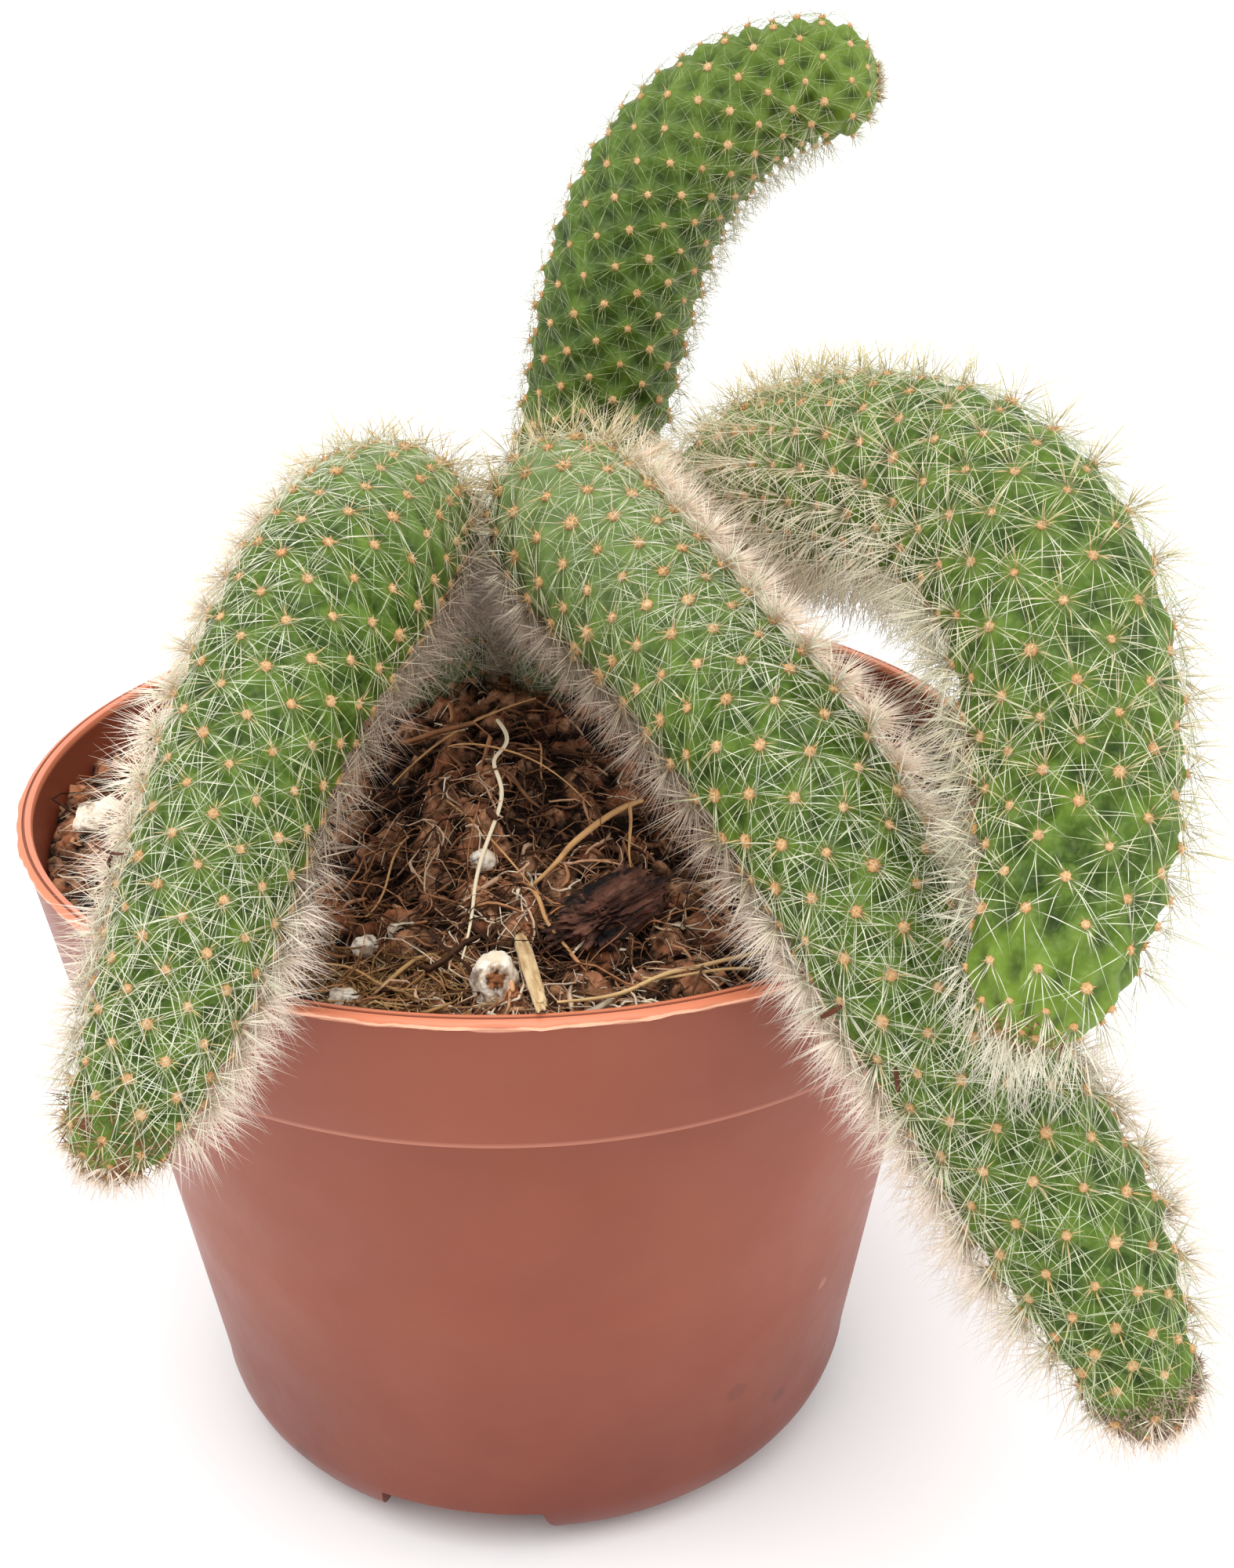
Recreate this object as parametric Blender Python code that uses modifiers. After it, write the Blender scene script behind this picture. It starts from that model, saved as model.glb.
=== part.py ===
# A potted monkey tail cactus: four hanging ribbed stems in a plastic nursery pot of soil.
# Metres, +Z up. The origin is the centre of the pot's base, and the front faces -Y.

import math
import random

import bmesh
import bpy
import numpy as np
from mathutils import Matrix, Vector, noise

MM = 0.001

# Driving dimensions of the pot
POT_HEIGHT = 77.0 * MM
LIP_RADIUS = 52.5 * MM
LIP_HEIGHT = 1.2 * MM
LIP_ROUND = 0.4 * MM
COLLAR_TOP_RADIUS = 52.2 * MM
COLLAR_RADIUS = 49.8 * MM
COLLAR_HEIGHT = 15.0 * MM
SHOULDER_RADIUS = 45.7 * MM
WALL = 1.2 * MM
CORNER_RADIUS = 9.0 * MM
CORNER_CENTRE = 28.2 * MM
POT_STEPS = 40
EDGE = 0.3 * MM
SHOULDER_DROP = 0.6 * MM
CORNER_STEPS = 4
NOTCHES = 4
FIRST_NOTCH = math.radians(-98.9)
DRAINS = 6
DRAIN_SIDES = 12
NOTCH_WIDTH = 20.6 * MM
NOTCH_TOP_SHARE = 0.86
NOTCH_HEIGHT = 6.6 * MM
NOTCH_START = 29.5 * MM
DRAIN_RADIUS = 3.0 * MM
DRAIN_CIRCLE = 14.0 * MM

# Driving dimensions of the soil
GAP = 0.3 * MM
SOIL_LEVEL = 72.0 * MM
MOUND_HEIGHT = 11.5 * MM
MOUND_SPREAD = 26.0 * MM
CLOD_HEIGHT = 0.8 * MM
CLOD_SIZE = 7.0 * MM
SOIL_RINGS = 7
SOIL_STEPS = 30
HOLE_SIDES = 18

# Driving dimensions of the stems
RIBS = 14
GROOVE = 0.10
STEM_FOOT = 70.0 * MM
RIBS_START = 14.0 * MM
FIRST_AREOLE = 0.25
DOME_TURNS = (30.0, 55.0, 75.0)
NEEDLE_RADIUS = 0.3 * MM
NEEDLE_LENGTH = 6.5 * MM
NEEDLE_ROOT = 1.0 * MM
NEEDLE_ASIDE = 0.6 * MM
NEEDLE_SPREAD = (0.35, 0.75)
NEEDLE_FORWARD = 0.15
NEEDLE_CLEAR = 0.7 * MM
SHORTER_SHARES = (1.0, 0.8, 0.6, 0.4)
TESTED_SHARES = (0.4, 0.7, 1.0)
FINE_POINTS = 600

# Each stem's centre line from its foot in the soil to its tip: x, y, z and radius, in mm.
# pitch is the spacing of the areoles along a rib, and dome the length of the rounded tip.
STEMS = {
    "stem_left": {
        "pitch": 5.0 * MM,
        "dome": 6.0 * MM,
        "line": [
            (-9.6, 11.0, 70.0, 5.0), (-10.0, 11.2, 84.0, 5.8), (-10.8, 8.6, 94.0, 7.0),
            (-11.6, 0.5, 102.8, 8.2), (-12.3, -11.5, 106.4, 8.7), (-14.2, -25.0, 105.6, 9.0),
            (-17.6, -38.2, 100.6, 8.1), (-20.6, -48.6, 92.6, 7.4), (-23.2, -57.0, 84.0, 6.7),
            (-25.6, -62.0, 77.8, 5.6), (-29.0, -66.4, 71.0, 3.2),
        ],
    },
    "stem_middle": {
        "pitch": 4.7 * MM,
        "dome": 5.5 * MM,
        "line": [
            (4.2, 9.6, 70.0, 5.0), (4.6, 10.4, 84.0, 5.8), (4.9, 10.0, 94.0, 7.0),
            (5.2, 4.5, 102.6, 8.1), (7.0, -6.0, 105.2, 8.5), (13.4, -18.5, 102.8, 8.3),
            (20.6, -31.0, 99.0, 7.8), (26.2, -40.6, 95.4, 8.0), (31.0, -47.6, 89.9, 7.5),
            (35.4, -52.9, 83.0, 6.9), (39.7, -55.4, 77.2, 7.0), (45.0, -58.2, 70.6, 7.7),
            (49.6, -60.3, 63.6, 7.9), (54.0, -62.0, 54.9, 6.3), (58.3, -65.1, 45.2, 3.5),
        ],
    },
    "stem_right": {
        "pitch": 6.2 * MM,
        "dome": 5.5 * MM,
        "line": [
            (19.4, 19.0, 70.0, 5.2), (19.6, 19.8, 84.0, 6.2), (20.6, 20.0, 94.0, 7.8),
            (24.8, 14.5, 102.8, 8.9), (30.2, 3.0, 108.6, 9.4), (35.0, -12.0, 112.8, 9.4),
            (40.8, -25.0, 115.2, 9.1), (45.4, -37.0, 113.8, 9.0), (47.6, -47.5, 108.6, 8.8),
            (48.2, -54.8, 101.2, 8.3), (47.3, -60.7, 96.2, 7.6), (45.5, -65.2, 92.0, 6.4),
            (42.6, -70.4, 86.7, 3.9),
        ],
    },
    "stem_back": {
        "pitch": 4.9 * MM,
        "dome": 4.8 * MM,
        "line": [
            (2.6, 33.5, 70.0, 5.2), (3.0, 33.8, 84.0, 6.4), (5.0, 32.6, 98.0, 8.0),
            (8.0, 30.8, 112.0, 8.7), (11.8, 30.0, 127.0, 8.9), (18.4, 29.8, 137.6, 8.3),
            (25.0, 29.4, 142.2, 7.5), (31.6, 29.2, 144.0, 6.5), (37.9, 28.6, 143.9, 6.0),
        ],
    },
}

# Loose pieces on the soil: place in x and y and height over the soil, length, width and
# thickness in mm, then turn about Z and tilt of the length in degrees.
LUMPS = {
    "perlite_1": {"at": (0.9, -42.0, 1.9), "size": (4.3, 5.0, 5.2), "turn": 8.0, "tilt": 0.0,
                  "look": "perlite"},
    "perlite_2": {"at": (-12.7, -43.1, 0.6), "size": (3.2, 2.6, 2.4), "turn": 20.0, "tilt": 0.0,
                  "look": "perlite"},
    "perlite_3": {"at": (-11.9, -34.8, 0.5), "size": (2.8, 2.3, 2.0), "turn": 70.0, "tilt": 0.0,
                  "look": "perlite"},
    "perlite_4": {"at": (-1.8, -23.4, 0.5), "size": (2.7, 2.6, 2.4), "turn": 160.0, "tilt": 0.0,
                  "look": "perlite"},
    "bark_chip": {"at": (10.0, -30.8, 0.6), "size": (10.5, 4.6, 2.8), "turn": 52.0, "tilt": 0.0,
                  "look": "bark"},
    "straw_chip": {"at": (4.0, -42.0, 3.2), "size": (19.0, 1.5, 0.8), "turn": -79.5,
                   "tilt": 9.0, "look": "straw"},
}
SOCKET_GAP = 0.4 * MM
LUMP_SCALE = 1.7
LUMP_ROUGHNESS = 0.16


def remove_scene_objects():
    for item in list(bpy.data.objects):
        bpy.data.objects.remove(item, do_unlink=True)


def new_collection(name):
    group = bpy.data.collections.new(name)
    bpy.context.scene.collection.children.link(group)
    return group


def material(name, color, roughness):
    mat = bpy.data.materials.new(name)
    mat.use_nodes = True
    shader = mat.node_tree.nodes["Principled BSDF"]
    shader.inputs["Base Color"].default_value = (*color, 1.0)
    shader.inputs["Roughness"].default_value = roughness
    shader.inputs["Metallic"].default_value = 0.0
    return mat


def mesh_object(name, bm, group, mat=None):
    bmesh.ops.recalc_face_normals(bm, faces=bm.faces)
    mesh = bpy.data.meshes.new(name)
    bm.to_mesh(mesh)
    bm.free()
    item = bpy.data.objects.new(name, mesh)
    group.objects.link(item)
    if mat:
        mesh.materials.append(mat)
    return item


def smooth_round(item, degrees=40.0):
    item.data.shade_smooth()
    item.data.set_sharp_from_angle(angle=math.radians(degrees))


def as_helper(item):
    item.hide_render = True
    item.display_type = "WIRE"
    return item


def boolean(item, operation, group, solver="EXACT"):
    cut = item.modifiers.new(operation.title(), "BOOLEAN")
    cut.operation = operation
    cut.solver = solver
    cut.operand_type = "COLLECTION"
    cut.collection = group


def apply_modifiers(item):
    """Gives the object the mesh that its modifiers make."""
    graph = bpy.context.evaluated_depsgraph_get()
    mesh = bpy.data.meshes.new_from_object(item.evaluated_get(graph))
    item.modifiers.clear()
    item.data = mesh


def remove_collection(group):
    for item in list(group.objects):
        bpy.data.objects.remove(item, do_unlink=True)
    bpy.data.collections.remove(group)


def arc(centre, radius, start, end, count):
    """Points on a circle about a centre in the (radius, height) plane, in degrees."""
    turns = [math.radians(start + (end - start) * step / count) for step in range(count + 1)]
    return [
        (centre[0] + radius * math.cos(turn), centre[1] + radius * math.sin(turn))
        for turn in turns
    ]


def wall_profile(inset):
    """The pot's outside below its lip, top to bottom, moved inwards by inset."""
    step_z = POT_HEIGHT - COLLAR_HEIGHT + inset
    corner = (CORNER_CENTRE, CORNER_RADIUS)
    return [
        (COLLAR_TOP_RADIUS - inset, POT_HEIGHT - LIP_HEIGHT),
        (COLLAR_RADIUS - inset, step_z + EDGE),
        (COLLAR_RADIUS - inset - EDGE, step_z),
        (SHOULDER_RADIUS - inset, step_z - SHOULDER_DROP),
        *arc(corner, CORNER_RADIUS - inset, 0.0, -90.0, CORNER_STEPS),
        (0.0, inset),
    ]


def lip_profile():
    """The lip, from the top of the pot's inner wall over and down to its outer wall."""
    top = POT_HEIGHT
    bottom = POT_HEIGHT - LIP_HEIGHT
    inner = COLLAR_TOP_RADIUS - WALL
    return [
        (inner, top - LIP_ROUND),
        (inner + LIP_ROUND, top),
        (LIP_RADIUS - LIP_ROUND, top),
        (LIP_RADIUS, top - LIP_ROUND),
        (LIP_RADIUS, bottom + EDGE),
        (LIP_RADIUS - EDGE, bottom),
    ]


def turned(name, profile, steps, group, mat=None):
    """A profile on the +X side, turned about Z by a Screw modifier."""
    bm = bmesh.new()
    points = [bm.verts.new((radius, 0.0, height)) for radius, height in profile]
    for first, second in zip(points, points[1:]):
        bm.edges.new((first, second))
    mesh = bpy.data.meshes.new(name)
    bm.to_mesh(mesh)
    bm.free()
    item = bpy.data.objects.new(name, mesh)
    group.objects.link(item)
    if mat:
        mesh.materials.append(mat)
    screw = item.modifiers.new("Turn", "SCREW")
    screw.steps = steps
    screw.render_steps = steps
    screw.use_merge_vertices = True
    screw.merge_threshold = 0.00001
    return item


def notch_block(name, notch, grow, group):
    """A block along one radius that fills a foot notch, larger by grow all round."""
    angle = FIRST_NOTCH + math.tau * notch / NOTCHES
    inner, outer = NOTCH_START - grow, LIP_RADIUS
    low, high = -2 * WALL, NOTCH_HEIGHT + grow
    bm = bmesh.new()
    bmesh.ops.create_cube(bm, size=1.0)
    top = [vertex for vertex in bm.verts if vertex.co.z > 0.0]
    bmesh.ops.scale(bm, vec=(1.0, NOTCH_TOP_SHARE, 1.0), verts=top)
    size = Matrix.Diagonal((outer - inner, NOTCH_WIDTH + 2 * grow, high - low, 1.0))
    place = Matrix.Translation(((inner + outer) / 2, 0.0, (low + high) / 2))
    bmesh.ops.transform(bm, matrix=Matrix.Rotation(angle, 4, "Z") @ place @ size, verts=bm.verts)
    return as_helper(mesh_object(name, bm, group))


def upright_cylinder(name, x, y, radius, low, high, sides, group):
    bm = bmesh.new()
    bmesh.ops.create_cone(
        bm, cap_ends=True, segments=sides, radius1=radius, radius2=radius, depth=high - low
    )
    bmesh.ops.translate(bm, vec=(x, y, (low + high) / 2), verts=bm.verts)
    return as_helper(mesh_object(name, bm, group))


def make_pot(group, cutters, mat):
    inside = wall_profile(WALL)
    profile = inside[::-1] + lip_profile() + wall_profile(0.0)
    pot = turned("pot", profile, POT_STEPS, group, mat)

    # Each foot notch is walled inside, so that the pot stays closed over it, and the soil
    # is cut back from it. The walls end within the pot's own wall.
    cores = new_collection("pot_core")
    walls = new_collection("notch_walls")
    notches = new_collection("notch_cutters")
    within = wall_profile(EDGE)
    core = turned("pot_core", [(0.0, within[0][1])] + within, POT_STEPS, cores)
    apply_modifiers(core)
    as_helper(core)
    for notch in range(NOTCHES):
        wall = notch_block(f"notch_wall_{notch + 1}", notch, WALL, walls)
        boolean(wall, "INTERSECT", cores)
        notch_block(f"notch_cutter_{notch + 1}", notch, 0.0, notches)
        notch_block(f"notch_space_{notch + 1}", notch, WALL + GAP, cutters)
    for drain in range(DRAINS):
        angle = math.tau * drain / DRAINS
        x, y = DRAIN_CIRCLE * math.cos(angle), DRAIN_CIRCLE * math.sin(angle)
        upright_cylinder(
            f"drain_cutter_{drain + 1}", x, y, DRAIN_RADIUS, -2 * WALL, 2 * WALL,
            DRAIN_SIDES, notches,
        )
    boolean(pot, "UNION", walls)
    boolean(pot, "DIFFERENCE", notches)
    apply_modifiers(pot)
    for helpers in (walls, notches, cores):
        remove_collection(helpers)
    smooth_round(pot)


def soil_height(x, y):
    """The soil's surface: a mound round the stems with small clods all over."""
    mound = MOUND_HEIGHT * math.exp(-(x * x + y * y) / MOUND_SPREAD ** 2)
    clods = CLOD_HEIGHT * noise.noise(Vector((x, y, 0.0)) / CLOD_SIZE)
    return SOIL_LEVEL + mound + clods


def make_soil(group, mat):
    """One turned block that fills the pot, with its top raised to the mound."""
    side = wall_profile(WALL + GAP)
    floor = WALL + GAP
    (wide, high), (narrow, low) = side[:2]
    edge = narrow + (wide - narrow) * (SOIL_LEVEL - low) / (high - low)
    top = [(edge * ring / SOIL_RINGS, SOIL_LEVEL) for ring in range(SOIL_RINGS + 1)]
    wall = [point for point in side[1:] if point[1] > floor]
    profile = top + wall + [(CORNER_CENTRE, floor), (0.0, floor)]
    soil = turned("soil", profile, SOIL_STEPS, group, mat)
    apply_modifiers(soil)
    for vertex in soil.data.vertices:
        if vertex.co.z > SOIL_LEVEL - GAP:
            vertex.co.z = soil_height(vertex.co.x, vertex.co.y)
    return soil


def smooth_line(points, spacing):
    """Rows of x, y, z and radius along a natural cubic through the points, evenly spaced."""
    rows = np.array(points) * MM
    spans = np.linalg.norm(np.diff(rows[:, :3], axis=0), axis=1)
    stations = np.concatenate([[0.0], np.cumsum(spans)])
    count = len(rows)
    system = np.eye(count)
    right = np.zeros_like(rows)
    for mid in range(1, count - 1):
        before, after = spans[mid - 1], spans[mid]
        system[mid, mid - 1:mid + 2] = before, 2 * (before + after), after
        slopes = (rows[mid + 1] - rows[mid]) / after - (rows[mid] - rows[mid - 1]) / before
        right[mid] = 6 * slopes
    bends = np.linalg.solve(system, right)

    def at(station):
        part = int(np.clip(np.searchsorted(stations, station) - 1, 0, count - 2))
        span = spans[part]
        done = station - stations[part]
        left = span - done
        curved = (bends[part] * left ** 3 + bends[part + 1] * done ** 3) / (6 * span)
        start = (rows[part] / span - bends[part] * span / 6) * left
        end = (rows[part + 1] / span - bends[part + 1] * span / 6) * done
        return curved + start + end

    fine = np.array([at(station) for station in np.linspace(0.0, stations[-1], FINE_POINTS)])
    lengths = np.linalg.norm(np.diff(fine[:, :3], axis=0), axis=1)
    travelled = np.concatenate([[0.0], np.cumsum(lengths)])
    wanted = np.linspace(0.0, travelled[-1], 1 + round(travelled[-1] / spacing))
    even = [np.interp(wanted, travelled, fine[:, column]) for column in range(4)]
    return np.stack(even, axis=1)


def frames_along(line):
    """Two cross directions at each row, carried along the line without twist."""
    tangents = np.gradient(line[:, :3], axis=0)
    tangents /= np.linalg.norm(tangents, axis=1)[:, None]
    across = np.cross((0.0, 1.0, 0.0), tangents[0])
    sides = []
    for tangent in tangents:
        across = across - tangent * across.dot(tangent)
        across = across / np.linalg.norm(across)
        sides.append((across, np.cross(tangent, across)))
    return tangents, sides


def stem_rings(stem):
    """The rings of a stem, from its foot up to a round dome, and the tip that closes it."""
    line = smooth_line(stem["line"], stem["pitch"] / 2)
    tangents, sides = frames_along(line)
    spacing = np.linalg.norm(line[1, :3] - line[0, :3])
    dome_start = spacing * (len(line) - 1) - stem["dome"]
    rings = []
    for row, centre in enumerate(line):
        along = row * spacing
        if along > dome_start:
            break
        rings.append({
            "centre": centre[:3],
            "radius": centre[3],
            "ribbed": min(1.0, max(0.0, (along - RIBS_START) / stem["pitch"])),
            "lean": 0.0,
            "tangent": tangents[row],
            "side": sides[row],
        })
    tip = line[-1, :3]
    last = rings[-1]
    for turn in DOME_TURNS:
        rise = math.sin(math.radians(turn))
        fall = math.cos(math.radians(turn))
        rings.append({
            "centre": last["centre"] + (tip - last["centre"]) * rise,
            "radius": last["radius"] * fall,
            "ribbed": fall,
            "lean": rise,
            "tangent": last["tangent"],
            "side": last["side"],
        })
    return rings, tip


def skin_faces(bm, rows):
    """Two triangles in each cell of the loft, split along the groove between areoles."""
    for number, (low, high) in enumerate(zip(rows, rows[1:])):
        for rib in range(RIBS):
            after = (rib + 1) % RIBS
            if (rib + number) % 2 == 0:
                bm.faces.new((low[rib], low[after], high[rib]))
                bm.faces.new((low[after], high[after], high[rib]))
            else:
                bm.faces.new((low[rib], low[after], high[after]))
                bm.faces.new((low[rib], high[after], high[rib]))


def make_stem_body(name, stem, group, mat):
    """A loft of rings whose points stand out at the areoles, each ring half a step on."""
    rings, tip = stem_rings(stem)
    bm = bmesh.new()
    rows = []
    areoles = []
    for number, ring in enumerate(rings):
        row = []
        for rib in range(RIBS):
            turn = math.tau * rib / RIBS
            outward = ring["side"][0] * math.cos(turn) + ring["side"][1] * math.sin(turn)
            on_areole = (rib + number) % 2 == 0
            groove = 0.0 if on_areole else GROOVE * ring["ribbed"]
            point = ring["centre"] + outward * ring["radius"] * (1.0 - groove)
            row.append(bm.verts.new(point))
            if on_areole and ring["ribbed"] > FIRST_AREOLE:
                normal = outward * (1.0 - ring["lean"]) + ring["tangent"] * ring["lean"]
                areoles.append((point, normal, ring["tangent"]))
        rows.append(row)
    skin_faces(bm, rows)
    apex = bm.verts.new(tip)
    for rib in range(RIBS):
        bm.faces.new((rows[-1][rib], rows[-1][(rib + 1) % RIBS], apex))
    bm.faces.new(rows[0])
    areoles.append((tip, rings[-1]["tangent"], rings[-1]["side"][0]))
    body = mesh_object(name, bm, group, mat)
    return body, areoles, rings


def pot_wall_gap(point):
    """How far a point is from the pot's collar and lip, or from the soil under it."""
    out = math.hypot(point[0], point[1])
    beside = max(COLLAR_RADIUS - WALL - out, out - LIP_RADIUS)
    above = point[2] - POT_HEIGHT
    if out < COLLAR_RADIUS - WALL:
        over_soil = point[2] - soil_height(point[0], point[1]) - CLOD_HEIGHT
        return min(over_soil, max(beside, above))
    return max(beside, above)


def clear_of_others(start, end, others):
    """Whether a needle stays clear of the pot, the soil and the other stems."""
    for share in TESTED_SHARES:
        point = start + (end - start) * share
        if pot_wall_gap(point) < NEEDLE_CLEAR:
            return False
        for line in others:
            gaps = np.linalg.norm(line[:, :3] - point, axis=1) - line[:, 3]
            if gaps.min() < NEEDLE_CLEAR:
                return False
    return True


def needle(name, root, along, length, group):
    """A three-sided needle from its sunk root to its point."""
    bm = bmesh.new()
    bmesh.ops.create_cone(
        bm, cap_ends=True, segments=3, radius1=NEEDLE_RADIUS, radius2=0.0, depth=length
    )
    turn = Vector(along).to_track_quat("Z", "Y").to_matrix().to_4x4()
    place = Matrix.Translation(root) @ turn @ Matrix.Translation((0.0, 0.0, length / 2))
    bmesh.ops.transform(bm, matrix=place, verts=bm.verts)
    return as_helper(mesh_object(name, bm, group))


def add_needles(body, areoles, others, seed):
    """Needles from every second areole, leaning every way and a little to the tip."""
    chance = random.Random(seed)
    needles = new_collection("needles")
    for number, (point, outward, tangent) in enumerate(areoles[::-2]):
        across = np.cross(tangent, outward)
        lean = chance.uniform(0.0, math.tau)
        spread = chance.uniform(*NEEDLE_SPREAD)
        forward = math.cos(lean) * spread + NEEDLE_FORWARD
        slant = tangent * forward + across * math.sin(lean) * spread
        along = outward + slant
        along /= np.linalg.norm(along)
        root = point + NEEDLE_ASIDE * slant / np.linalg.norm(slant) - outward * NEEDLE_ROOT
        for share in SHORTER_SHARES:
            length = NEEDLE_ROOT + NEEDLE_LENGTH * share
            if clear_of_others(root, root + along * length, others):
                needle(f"needle_{number}", root, along, length, needles)
                break
    boolean(body, "UNION", needles, solver="MANIFOLD")
    apply_modifiers(body)
    remove_collection(needles)


def stem_hole(name, rings, cutters):
    """A plain round hole round the sunk foot of a stem, with a gap all round."""
    feet = [ring for ring in rings if ring["ribbed"] == 0.0]
    middle = sum(ring["centre"] for ring in feet) / len(feet)
    reach = max(math.dist(foot["centre"][:2], middle[:2]) + foot["radius"] for foot in feet)
    radius = (reach + GAP) / math.cos(math.pi / HOLE_SIDES)
    low, high = STEM_FOOT - 3 * GAP, STEM_FOOT + 2 * RIBS_START
    upright_cylinder(name, middle[0], middle[1], radius, low, high, HOLE_SIDES, cutters)


def make_stems(group, cutters, mat):
    bodies = {}
    for name, stem in STEMS.items():
        bodies[name] = make_stem_body(name, stem, group, mat)
    for seed, (name, (body, areoles, rings)) in enumerate(bodies.items()):
        others = [
            np.array([(*ring["centre"], ring["radius"]) for ring in bodies[other][2]])
            for other in STEMS
            if other != name
        ]
        add_needles(body, areoles, others, seed)
        stem_hole(f"hole_{name}", rings, cutters)


def lump(name, piece, group, mat=None, grow=0.0):
    """A rough pebble or chip, part sunk into the soil's surface."""
    x, y = (MM * place for place in piece["at"][:2])
    bm = bmesh.new()
    bmesh.ops.create_icosphere(bm, subdivisions=2, radius=1.0)
    for vertex in bm.verts:
        bump = noise.noise(vertex.co * LUMP_SCALE + Vector(piece["at"]))
        vertex.co *= 1.0 + LUMP_ROUGHNESS * bump
    half = [MM * side / 2 + grow for side in piece["size"]]
    turn = Matrix.Rotation(math.radians(piece["turn"]), 4, "Z")
    tilt = Matrix.Rotation(math.radians(-piece["tilt"]), 4, "Y")
    place = Matrix.Translation((x, y, soil_height(x, y) + MM * piece["at"][2]))
    place = place @ turn @ tilt @ Matrix.Diagonal((*half, 1.0))
    bmesh.ops.transform(bm, matrix=place, verts=bm.verts)
    return mesh_object(name, bm, group, mat)


def make_lumps(group, cutters, mats):
    """Perlite, bark and straw, each lying in a socket of its own shape in the soil."""
    for name, piece in LUMPS.items():
        lump(name, piece, group, mats[piece["look"]])
        as_helper(lump(f"socket_{name}", piece, cutters, grow=SOCKET_GAP))


def main():
    remove_scene_objects()
    plant = new_collection("potted_monkey_tail_cactus")
    cutters = new_collection("cutters")
    mats = {
        "pot": material("terracotta_plastic", (0.38, 0.12, 0.08), 0.5),
        "soil": material("potting_soil", (0.06, 0.03, 0.015), 0.95),
        "stem": material("cactus_skin", (0.13, 0.29, 0.09), 0.6),
        "perlite": material("perlite", (0.76, 0.70, 0.62), 0.9),
        "bark": material("bark", (0.07, 0.03, 0.02), 0.9),
        "straw": material("straw", (0.55, 0.36, 0.17), 0.8),
    }
    make_pot(plant, cutters, mats["pot"])
    soil = make_soil(plant, mats["soil"])
    make_stems(plant, cutters, mats["stem"])
    make_lumps(plant, cutters, mats)
    boolean(soil, "DIFFERENCE", cutters, solver="MANIFOLD")


main()
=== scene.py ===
import math

import bpy
import numpy as np
from mathutils import Matrix, Vector, noise


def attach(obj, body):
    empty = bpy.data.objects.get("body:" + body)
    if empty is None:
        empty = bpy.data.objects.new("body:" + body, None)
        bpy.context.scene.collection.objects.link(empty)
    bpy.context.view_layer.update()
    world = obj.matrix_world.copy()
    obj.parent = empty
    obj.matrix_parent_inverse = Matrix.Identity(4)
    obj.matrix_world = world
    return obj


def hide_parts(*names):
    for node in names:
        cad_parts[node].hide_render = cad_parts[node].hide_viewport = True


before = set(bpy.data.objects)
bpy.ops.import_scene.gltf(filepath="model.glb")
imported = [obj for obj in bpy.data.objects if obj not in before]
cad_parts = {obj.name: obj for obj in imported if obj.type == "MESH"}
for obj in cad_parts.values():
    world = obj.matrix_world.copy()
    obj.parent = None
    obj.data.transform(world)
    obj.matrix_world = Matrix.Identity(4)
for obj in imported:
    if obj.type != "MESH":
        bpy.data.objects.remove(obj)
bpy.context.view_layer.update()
bpy.ops.object.select_all(action="DESELECT")
mm = 0.001


# small helpers for the pieces

def srgb(red, green, blue):
    # a colour as seen on screen, 0 to 255, as the linear one that shaders take
    shares = [part / 255 for part in (red, green, blue)]
    linear = [((share + 0.055) / 1.055) ** 2.4 if share > 0.04 else share / 12.92 for share in shares]
    return (*linear, 1.0)


def onlySelect(*items):
    bpy.ops.object.select_all(action="DESELECT")
    for item in items:
        item.select_set(True)
    bpy.context.view_layer.objects.active = items[-1]


def applyPlace(item):
    onlySelect(item)
    bpy.ops.object.transform_apply(location=True, rotation=True, scale=True)


def meshArrays(item):
    # a piece's corners and its triangles, as arrays
    item.data.calc_loop_triangles()
    points = np.array([vertex.co[:] for vertex in item.data.vertices])
    triangles = np.array([triangle.vertices[:] for triangle in item.data.loop_triangles])
    return points, triangles


def patternOf(item):
    # the arrays of a shape that is only there to be copied
    pattern = meshArrays(item)
    bpy.data.objects.remove(item, do_unlink=True)
    return pattern


def addAttribute(item, name, values):
    layer = item.data.attributes.new(name, "FLOAT", "POINT")
    layer.data.foreach_set("value", np.asarray(values, dtype=np.float32))


def finishPiece(item, name, slot, finish, *replaced, smooth=True):
    onlySelect(item)
    item.name = item.data.name = name
    item.data.materials.clear()
    item.data.materials.append(finish)
    if smooth:
        bpy.ops.object.shade_smooth()
    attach(item, "root")
    if replaced:
        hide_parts(*replaced)
    print(name, len(item.data.polygons), "faces")
    return item


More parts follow.
